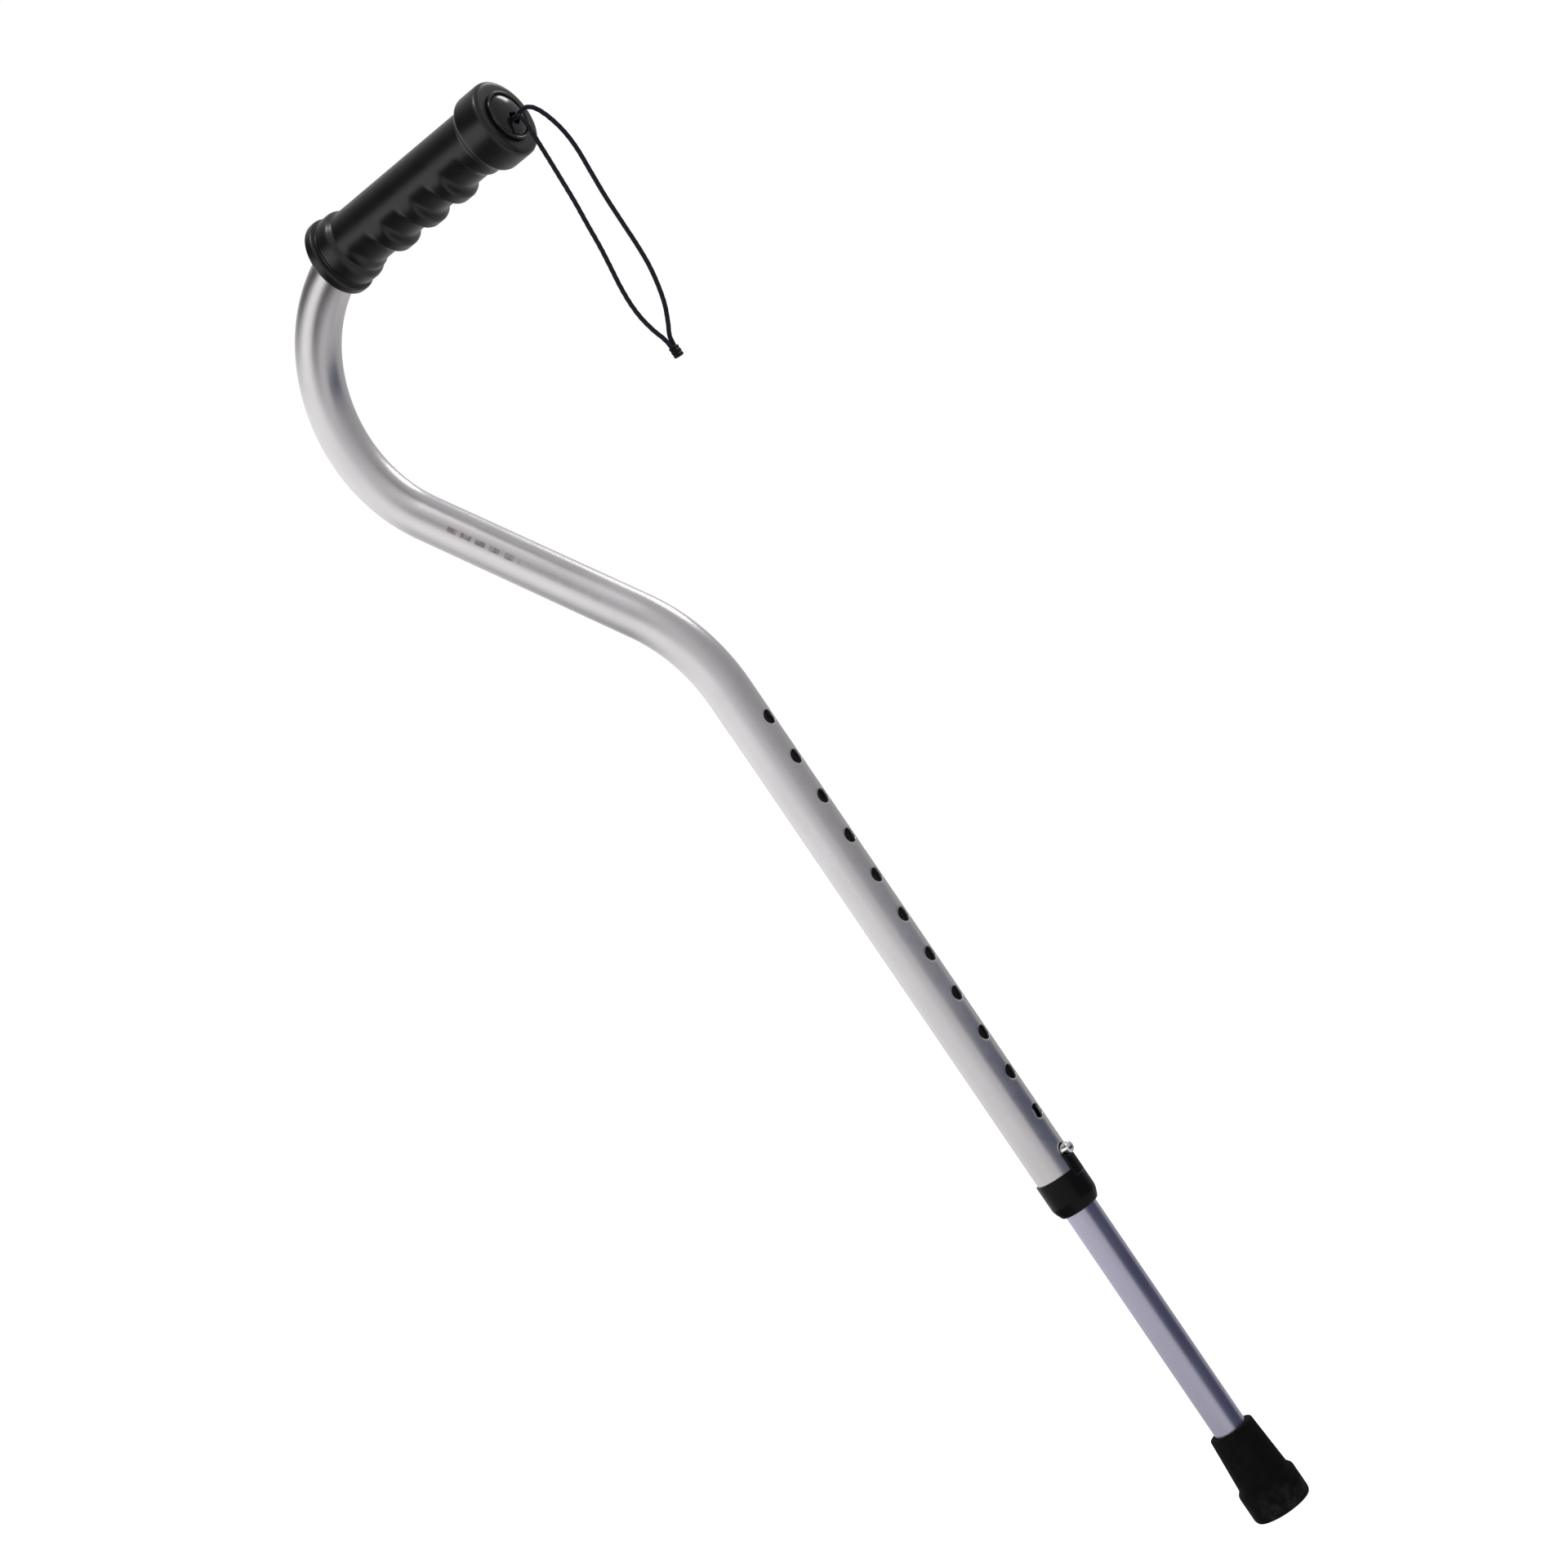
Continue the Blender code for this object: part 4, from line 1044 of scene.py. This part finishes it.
def evenly(points, step):
    """The same row of points, spaced evenly by about a step."""
    along = running(points)
    number = max(2, round(along[-1] / step))
    out, j = [], 0
    for want in spread(0.0, along[-1], number):
        while j < len(points) - 2 and along[j + 1] < want:
            j += 1
        way = (want - along[j]) / (along[j + 1] - along[j])
        out.append(points[j].lerp(points[j + 1], min(max(way, 0.0), 1.0)))
    return out


def plait(cord, turn, along):
    """Rise of the plait's crossings over a strand's plain radius."""
    wave = math.cos(cord.plait_count * turn) * math.cos(TURN * along / (2 * cord.plait_pitch))
    return cord.plait_depth * wave


def strand(name, material, cord, line):
    """A plaited round strand along a line, rounded at both ends."""
    points = evenly(line, cord.plait_pitch / 6)
    along = running(points)
    turns = spread(0.0, TURN, 30)
    tangent = (points[1] - points[0]).normalized()
    side = tangent.orthogonal().normalized()
    rows = []
    for i, point in enumerate(points):
        ahead = (points[min(i + 1, len(points) - 1)] - points[max(i - 1, 0)]).normalized()
        side = (side - ahead * side.dot(ahead)).normalized()
        other = ahead.cross(side)
        rows.append([])
        for t in turns:
            radius = cord.radius - cord.plait_depth + plait(cord, t, along[i])
            place = point + radius * (side * math.cos(t) + other * math.sin(t))
            rows[-1].append((place, (t * cord.radius, along[i])))
    for end, away in ((0, points[0] - points[1]), (-1, points[-1] - points[-2])):
        ring, middle, out = rows[end], points[end], away.normalized() * cord.radius
        caps = [[(middle + (place - middle) * math.cos(t) + out * math.sin(t), lay)
                 for place, lay in ring] for t in spread(0.0, math.pi / 2, 3)[1:]]
        rows = list(reversed(caps)) + rows if end == 0 else rows + caps
    surface = Surface()
    surface.grid(rows)
    return surface.piece(name, material), points


# The crimp's shape, in shares of its half height and half width.
CRIMP_STRAIGHT = 0.70             # height where its ends start to narrow
CRIMP_TIP = 0.62                  # width of its two end faces
CRIMP_OBLONG = 0.6                # power that squares its round section: 1 is round, 0 is square
NIPS = (-0.38, 0.38)              # heights of the two nips
NIP_WIDTH = (0.03, 0.16)          # half of a nip's floor and of its mouth
NIP_DEPTH = 0.10
STRAND_IN_CRIMP = 0.0026          # length of each strand inside the crimp


class CANE_OT_wrist_cord(bpy.types.Operator):
    """Make the doubled wrist cord, the crimp on its ends and the knot behind the plug"""

    bl_idname = "cane.wrist_cord"
    bl_label = "Wrist Cord"

    def execute(self, context):
        cord = context.scene.cane_cord
        tones = context.scene.cane_colours
        fibre = plaited_cord("plaited_cord", tones.cord).material
        crimp = self.crimp(tones)
        for name, node, route in (("inner_strand", "wrist_cord_inner", INNER_ROUTE),
                                  ("outer_strand", "wrist_cord_outer", OUTER_ROUTE)):
            knots = [CORD_EXIT + Vector(place) for place in route]
            inside = knots[0] - Vector((cord.inside, 0, 0))
            tip = knots[-1] + (knots[-1] - knots[-2]).normalized() * STRAND_IN_CRIMP
            piece, line = strand(name, fibre, cord, smooth_curve([inside] + knots + [tip]))
            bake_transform(piece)
            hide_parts(node)
        self.knot(cord, fibre)
        return {"FINISHED"}

    def crimp(self, tones):
        """A pressed plastic crimp: rounded oblong sections with two nips."""
        middle = (CRIMP_LOW + CRIMP_HIGH) / 2
        half = (CRIMP_HIGH - CRIMP_LOW) / 2
        rows = []
        for level in spread(-1.0, 1.0, 48):
            past = max(0.0, abs(level) - CRIMP_STRAIGHT) / (1 - CRIMP_STRAIGHT)
            width = CRIMP_TIP + (1 - CRIMP_TIP) * math.sqrt(max(0.0, 1 - past ** 2))
            width *= 1 - NIP_DEPTH * sum(swell(level, nip, *NIP_WIDTH) for nip in NIPS)
            row = []
            for t in spread(0.0, TURN, SMALL_SIDES):
                x, y = [math.copysign(abs(v) ** CRIMP_OBLONG, v) * width
                        for v in (math.cos(t), math.sin(t))]
                row.append((middle + Vector((x * half.x, y * half.y, level * half.z)),
                            (t * half.y, level * half.z)))
            rows.append(row)
        for level, place in ((0, -half.z), (-1, half.z)):
            centre = (middle + Vector((0, 0, place)), (0.0, place))
            rows.insert(0 if level == 0 else len(rows), [centre] * len(rows[0]))
        surface = Surface()
        surface.grid(rows)
        finish = moulded("crimp_plastic", tones.plastic, 0.32, tones.wear)
        return settle(surface.piece("pressed_crimp", finish.material), "wrist_loop",
                      "black_plastic", "cord_crimp")

    def knot(self, cord, fibre):
        """An overhand knot in the plug's pocket."""
        size = (KNOT_HIGH.z - KNOT_LOW.z) / 2 - cord.radius
        middle = Vector((KNOT_LOW.x + size + cord.radius, 0, KNOT_Z))
        line = []
        for t in spread(0.0, TURN, 90):
            loop = Vector((-math.sin(3 * t), math.sin(t) + 2 * math.sin(2 * t),
                           math.cos(t) - 2 * math.cos(2 * t)))
            line.append(middle + loop * (size / 3))
        piece, _ = strand("overhand_knot", fibre, cord, line)
        settle(piece, "handle_frame", "braided_cord", "cord_knot")


# ---- the height lock ----------------------------------------------------------------------------


TAB_CORNER = 0.0007               # radius of the tab's upper corners
TAB_SIDE = (0.0004, 0.0006)       # where the tab's side starts and stops, in and out from its edge
TAB_FOOT = 0.0042                 # from the sleeve's rim down to the raised tab's foot
TAB_SLOPE = 0.0008                # height of the slope under the tab
WAIST = (0.0010, 0.0030)          # in and down from the sleeve's foot, on its round lower part


class CANE_OT_locking_collar(bpy.types.Operator):
    """Make the locking collar with the tab that reaches up to the button"""

    bl_idname = "cane.locking_collar"
    bl_label = "Locking Collar"

    def execute(self, context):
        self.lock = context.scene.cane_lock
        self.tubes = context.scene.cane_tubes
        tones = context.scene.cane_colours
        self.bore = self.tubes.upper_radius + self.lock.gap
        tab_turn = self.lock.tab_width / 2 / self.bore
        fine = spread(-2 * tab_turn, 2 * tab_turn, 88)
        coarse = spread(2 * tab_turn, TURN - 2 * tab_turn, 72)
        surface = Surface()
        for turns in (fine, coarse):
            columns = [self.column(t) for t in turns]
            surface.grid([[(Vector((p.x * math.cos(t), p.x * math.sin(t), p.y)),
                            (t * self.bore, p.y)) for t, p in zip(turns, row)]
                          for row in zip(*columns)])
        finish = moulded("collar_plastic", tones.plastic, 0.27, tones.wear, 1500.0)
        settle(surface.piece("sleeve_collar", finish.material), "collar", "black_plastic",
               "locking_collar")
        return {"FINISHED"}

    def rim_height(self, turn):
        """Height of the rim at a turn: the sleeve's, the tab's or the notch's."""
        lock = self.lock
        y = self.bore * math.sin(turn) if math.cos(turn) > 0 else self.bore
        corner = swell(y, 0.0, lock.tab_width / 2 - TAB_CORNER, lock.tab_width / 2)
        height = lock.top + (COLLAR_HIGH.z - lock.top) * corner
        notch = lock.button + lock.button_gap
        if abs(y) < notch:
            height = min(height, BUTTON_Z - math.sqrt(notch ** 2 - y * y))
        return height

    def column(self, turn):
        """(radius, height) points of the collar's section at a turn, as a closed row."""
        lock = self.lock
        y = abs(self.bore * math.sin(turn)) if math.cos(turn) > 0 else self.bore
        on_tab = swell(y, 0.0, lock.tab_width / 2 - TAB_SIDE[0], lock.tab_width / 2 + TAB_SIDE[1])
        rim = self.rim_height(turn)
        foot = COLLAR_LOW.z
        sleeve_foot = lock.top - lock.sleeve
        wall = self.bore + lock.wall
        raised = wall + (lock.tab_wall - lock.wall) * on_tab
        throat = self.tubes.lower_radius + lock.gap
        tab_foot = lock.top - TAB_FOOT
        corners = [
            (throat, foot, 0.0002), (lock.lip, foot, 0.0012),
            (wall - WAIST[0], sleeve_foot - WAIST[1], 0.0022), (wall, sleeve_foot, 0.0014),
            (wall, tab_foot - TAB_SLOPE, 0.0003), (raised, tab_foot, 0.0003), (raised, rim, 0.00035),
            (self.bore, rim, 0.0002), (self.bore, lock.shelf, 0.0002), (throat, lock.shelf, 0.0002),
        ]
        points = eased(corners)
        return points + points[:1]


class CANE_OT_snap_button(bpy.types.Operator):
    """Make the domed snap button"""

    bl_idname = "cane.snap_button"
    bl_label = "Snap Button"

    def execute(self, context):
        lock = context.scene.cane_lock
        tones = context.scene.cane_colours
        flange = BUTTON_HIGH.z - BUTTON_Z
        tip = BUTTON_HIGH.x
        back = BUTTON_LOW.x
        front = back + lock.button_flange
        dome = [Vector((lock.button * math.sin(t), tip - lock.button_dome * (1 - math.cos(t))))
                for t in spread(0.0, math.pi / 2, 16)]
        shank = eased([
            (lock.button, tip - lock.button_dome - 0.0002, 0), (lock.button, front, 0.0003),
            (flange, front, 0.0002), (flange, back, 0.0002), (0.0, back, 0),
        ])
        finish = plain_metal("chrome", tones.chrome, 0.13, tones.wear)
        button = turned("domed_button", dome + shank, finish.material, along_x(0.0, BUTTON_Z),
                        SMALL_SIDES)
        settle(button, "push_button", "chrome", "snap_button")
        return {"FINISHED"}


class CANE_OT_button_spring(bpy.types.Operator):
    """Make the hairpin spring of the snap button"""

    bl_idname = "cane.button_spring"
    bl_label = "Button Spring"

    def execute(self, context):
        lock = context.scene.cane_lock
        tones = context.scene.cane_colours
        half = lock.spring_thick / 2
        near = SPRING_HIGH.x - half
        far = SPRING_LOW.x + half
        low = BUTTON_Z - lock.spring_drop
        front = Vector((near, BUTTON_Z - lock.spring_over))
        rear = Vector((far, BUTTON_Z - 2 * lock.spring_over))
        top = Vector((far, SPRING_HIGH.z))
        middle = (near + far) / 2
        soft = lock.spring_bend
        first = (math.pi - lock.spring_turn) / 2
        heel = [(middle + soft * math.cos(first + t), low - soft * math.sin(first + t), 0)
                for t in spread(0.0, lock.spring_turn, 16)]
        corners = [(near, BUTTON_Z + lock.spring_over, 0), (*front, soft)]
        points = eased(corners + heel + [(*rear, soft), (*top, 0)])
        line = [a.lerp(b, t) for a, b in zip(points, points[1:]) for t in spread(0.0, 1.0, 6)[:-1]]
        spring = self.leaf(line + points[-1:], half, SPRING_HIGH.y, tones)
        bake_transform(spring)
        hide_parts("button_spring")
        return {"FINISHED"}

    def leaf(self, line, half, wide, tones):
        """A flat strip with eased edges along a line of (x, z)."""
        ease = half / 3
        section = eased([(half, -wide, ease), (half, wide, ease), (-half, wide, ease),
                         (-half, -wide, ease)])
        section.append(section[0])
        round_it = running(section)
        rows = []
        for i, along in enumerate(running(line)):
            way = (line[min(i + 1, len(line) - 1)] - line[max(i - 1, 0)]).normalized()
            out = Vector((way.y, -way.x))
            rows.append([((line[i].x + out.x * a, b, line[i].y + out.y * a), (turn, along))
                         for (a, b), turn in zip(section, round_it)])
        for row, point in ((0, line[0]), (len(rows) + 1, line[-1])):
            rows.insert(row, [((point.x, 0, point.y), (0, 0))] * len(section))
        surface = Surface()
        surface.grid(rows)
        steel = plain_metal("spring_steel", tones.steel, 0.30, tones.wear)
        return surface.piece("hairpin_spring", steel.material)


class CANE_OT_ferrule(bpy.types.Operator):
    """Make the rubber ferrule with its step and ring tread"""

    bl_idname = "cane.ferrule"
    bl_label = "Ferrule"

    def execute(self, context):
        tip = context.scene.cane_ferrule
        tubes = context.scene.cane_tubes
        tones = context.scene.cane_colours
        top = FERRULE_HIGH.z
        bore = tubes.lower_radius + context.scene.cane_grip.fit
        edge = tip.foot - tip.face
        profile = [
            (0.0, tip.floor, 0), (bore, tip.floor, 0.0003), (bore, top, 0.0005),
            (tip.mouth, top, 0.0010), (tip.neck, tip.step + tip.shoulder, 0.0012),
            (tip.foot, tip.step, 0.0014), (tip.foot, 2.0 * edge, 0.0010), (tip.face, 0.0, 0.0006),
        ]
        for i in range(tip.tread_count, 0, -1):
            out = tip.tread_pitch * i + tip.tread_width / 2
            back = out - tip.tread_width
            profile += [(out, 0.0, 0.0002), (out - tip.tread_side, tip.tread_depth, 0.0002),
                        (back + tip.tread_side, tip.tread_depth, 0.0002), (back, 0.0, 0.0002)]
        profile.append((0.0, 0.0, 0))
        finish = worn_rubber("black_rubber", tones.rubber, tones.wear, tip.step)
        ferrule = turned("rubber_ferrule", eased(profile), finish.material)
        settle(ferrule, "lower_leg", "black_rubber", "ferrule")
        return {"FINISHED"}


class CANE_OT_inner_finishes(bpy.types.Operator):
    """Finish the CAD pieces inside the tubes: bush, glide cap and washer"""

    bl_idname = "cane.inner_finishes"
    bl_label = "Inner Finishes"

    def execute(self, context):
        tones = context.scene.cane_colours
        white = nylon("white_nylon", tones.nylon).material
        steel = plain_metal("washer_steel", tones.steel, 0.30, tones.wear).material
        finishes = {"guide_bush": white, "glide_cap": white, "ferrule_washer": steel}
        for node, material in finishes.items():
            frame["nodes"][node].material_slots[0].material = material
        return {"FINISHED"}


# ---- the stage ----------------------------------------------------------------------------------


def toward(azimuth, elevation):
    """The direction from the object to a place at an azimuth and an elevation."""
    level = math.cos(elevation)
    return Vector((math.sin(azimuth) * level, -math.cos(azimuth) * level, math.sin(elevation)))


def stand_off(made, middle, azimuth, elevation, distance):
    """Puts a light or a card away from the middle and facing it. The camera doesn't see it."""
    way = toward(azimuth, math.radians(elevation))
    made.location = middle + way * distance
    made.rotation_euler = way.to_track_quat("Z", "Y").to_euler()
    made.visible_camera = False


def soft_light(name, middle, side, elevation, distance, width, power, mirrored):
    """A square soft light, which reflections see only if it is mirrored."""
    data = bpy.data.lights.new(name, "AREA")
    data.size = width
    data.energy = power
    light = bpy.data.objects.new(name, data)
    stand_off(light, middle, side, elevation, distance)
    light.visible_glossy = mirrored
    bpy.context.scene.collection.objects.link(light)


def flag(name, middle, side, distance, size, rgb):
    """An upright dark card that only reflections see."""
    bm = bmesh.new()
    bmesh.ops.create_grid(bm, x_segments=1, y_segments=1, size=0.5)
    bmesh.ops.scale(bm, vec=(*size, 1), verts=bm.verts)
    card = placed(name, bm, Finish(name, rgb, 0.9).material)
    stand_off(card, middle, side, 0.0, distance)
    card.visible_shadow = False
    card.visible_diffuse = False


# Each light's degrees round from the camera and over the middle, its distance and its width in
# metres, its power in watts, and whether reflections see it.
LIGHTS = {
    "key_light": (-62, 26, 2.6, 0.9, 10, False),
    "fill_light": (-150, 40, 3.0, 1.6, 10, False),
    "top_light": (20, 78, 2.6, 0.5, 12, True),
    "rim_light": (127, 32, 2.2, 0.5, 5, True),
}


class CANE_OT_stage(bpy.types.Operator):
    """Make the pale floor, the soft lights, the dark card and the camera"""

    bl_idname = "cane.stage"
    bl_label = "Stage"

    def execute(self, context):
        stage = context.scene.cane_stage
        self.floor(stage)
        self.world(context.scene, stage)
        middle = Vector((0, 0, stage.aim_height))
        for name, (turn, *rest) in LIGHTS.items():
            soft_light(name, middle, stage.azimuth + math.radians(turn), *rest)
        foot = Vector((0, 0, -stage.flag_drop))
        flag("side_flag", foot, stage.azimuth + stage.flag_turn, stage.flag_distance,
             (stage.flag_width, stage.flag_height), stage.flag_tone)
        self.camera(context.scene, stage)
        return {"FINISHED"}

    def floor(self, stage):
        bm = bmesh.new()
        bmesh.ops.create_circle(bm, cap_ends=True, segments=SIDES, radius=stage.floor_radius)
        finish = Finish("floor_paper", stage.floor, 0.85)
        grain = finish.noise(finish.objects(), 350.0, 3.0)
        finish.set("Normal", finish.bump(grain, 0.0002, 0.1))
        finish.set("Specular IOR Level", 0.1)
        finish.set("Emission Color", (1.0, 1.0, 1.0, 1.0))
        finish.set("Emission Strength", stage.glow)
        floor = placed("floor", bm, finish.material)
        floor.visible_glossy = False

    def world(self, scene, stage):
        """White to the eye; in reflections a soft room with a band of light at the left."""
        world = bpy.data.worlds.new("studio")
        world.use_nodes = True
        nodes = Nodes(world.node_tree)
        way = nodes.node("ShaderNodeTexCoord").outputs["Generated"]
        left = -math.cos(stage.azimuth), -math.sin(stage.azimuth), 0.0
        aside = nodes.node("ShaderNodeVectorMath", {0: way, 1: left},
                           operation="DOT_PRODUCT").outputs["Value"]
        height = nodes.node("ShaderNodeSeparateXYZ", {"Vector": way}).outputs["Z"]
        rise = nodes.range(height, *stage.band_foot, 0.0, stage.left_light)
        fall = nodes.range(height, *stage.band_top, 1.0, 0.0)
        to_left = nodes.range(aside, *stage.band_edge)
        band = nodes.math("MULTIPLY", rise, fall, to_left)
        room = nodes.range(aside, -1.0, 0.0, stage.right_light, stage.front_light)
        room = nodes.math("MULTIPLY", room, nodes.math("SUBTRACT", 1.0, to_left))
        glow = nodes.math("ADD", band, room, stage.dim_light)
        soft = nodes.tree.nodes["Background"]
        nodes.feed(soft.inputs["Color"], (*stage.surround, 1.0))
        nodes.feed(soft.inputs["Strength"], glow)
        white = nodes.node("ShaderNodeBackground", {"Color": (*stage.backdrop, 1.0)})
        seen = nodes.node("ShaderNodeLightPath").outputs["Is Camera Ray"]
        either = nodes.node("ShaderNodeMixShader",
                            {0: seen, 1: soft.outputs[0], 2: white.outputs[0]}).outputs[0]
        nodes.feed(nodes.tree.nodes["World Output"].inputs["Surface"], either)
        scene.world = world
        scene.view_settings.view_transform = "Standard"

    def camera(self, scene, stage):
        data = bpy.data.cameras.new("camera")
        data.lens = stage.lens
        data.dof.use_dof = False
        data.clip_start = 0.01
        data.clip_end = 100.0
        camera = bpy.data.objects.new("camera", data)
        back = toward(stage.azimuth, stage.elevation)
        right = Vector((math.cos(stage.azimuth), math.sin(stage.azimuth), 0))
        up = back.cross(right)
        turned_right = right * math.cos(stage.roll) + up * math.sin(stage.roll)
        turned_up = up * math.cos(stage.roll) - right * math.sin(stage.roll)
        aim = right * stage.aim_side + Vector((0, 0, stage.aim_height))
        axes = Matrix((turned_right, turned_up, back)).transposed().to_4x4()
        camera.matrix_world = Matrix.Translation(aim + back * stage.distance) @ axes
        scene.collection.objects.link(camera)
        scene.camera = camera


# ---- the add-on ---------------------------------------------------------------------------------

STEPS = (
    CANE_OT_stage,
    CANE_OT_wrist_cord,
    CANE_OT_upper_tube,
    CANE_OT_handle_grip,
    CANE_OT_end_plug,
    CANE_OT_lower_tube,
    CANE_OT_ferrule,
    CANE_OT_snap_button,
    CANE_OT_button_spring,
    CANE_OT_locking_collar,
    CANE_OT_inner_finishes,
)


class CANE_PT_panel(bpy.types.Panel):
    """The cane's steps and sizes"""

    bl_label = "Offset Cane"
    bl_idname = "CANE_PT_panel"
    bl_space_type = "VIEW_3D"
    bl_region_type = "UI"
    bl_category = "Cane"

    def draw(self, context):
        for step in STEPS:
            self.layout.operator(step.bl_idname)
        for key, group in GROUPS.items():
            box = self.layout.box()
            box.label(text=group.__doc__)
            for field in group.__annotations__:
                box.prop(getattr(context.scene, key), field)


def register():
    for group in GROUPS.values():
        bpy.utils.register_class(group)
    for key, group in GROUPS.items():
        setattr(bpy.types.Scene, key, bpy.props.PointerProperty(type=group))
    for step in STEPS:
        bpy.utils.register_class(step)
    bpy.utils.register_class(CANE_PT_panel)


def unregister():
    bpy.utils.unregister_class(CANE_PT_panel)
    for step in reversed(STEPS):
        bpy.utils.unregister_class(step)
    for key in GROUPS:
        delattr(bpy.types.Scene, key)
    for group in reversed(list(GROUPS.values())):
        bpy.utils.unregister_class(group)


def main():
    """Makes the cane on its stage."""
    register()
    for step in STEPS:
        family, name = step.bl_idname.split(".")
        getattr(getattr(bpy.ops, family), name)()


if __name__ == "__main__":
    main()
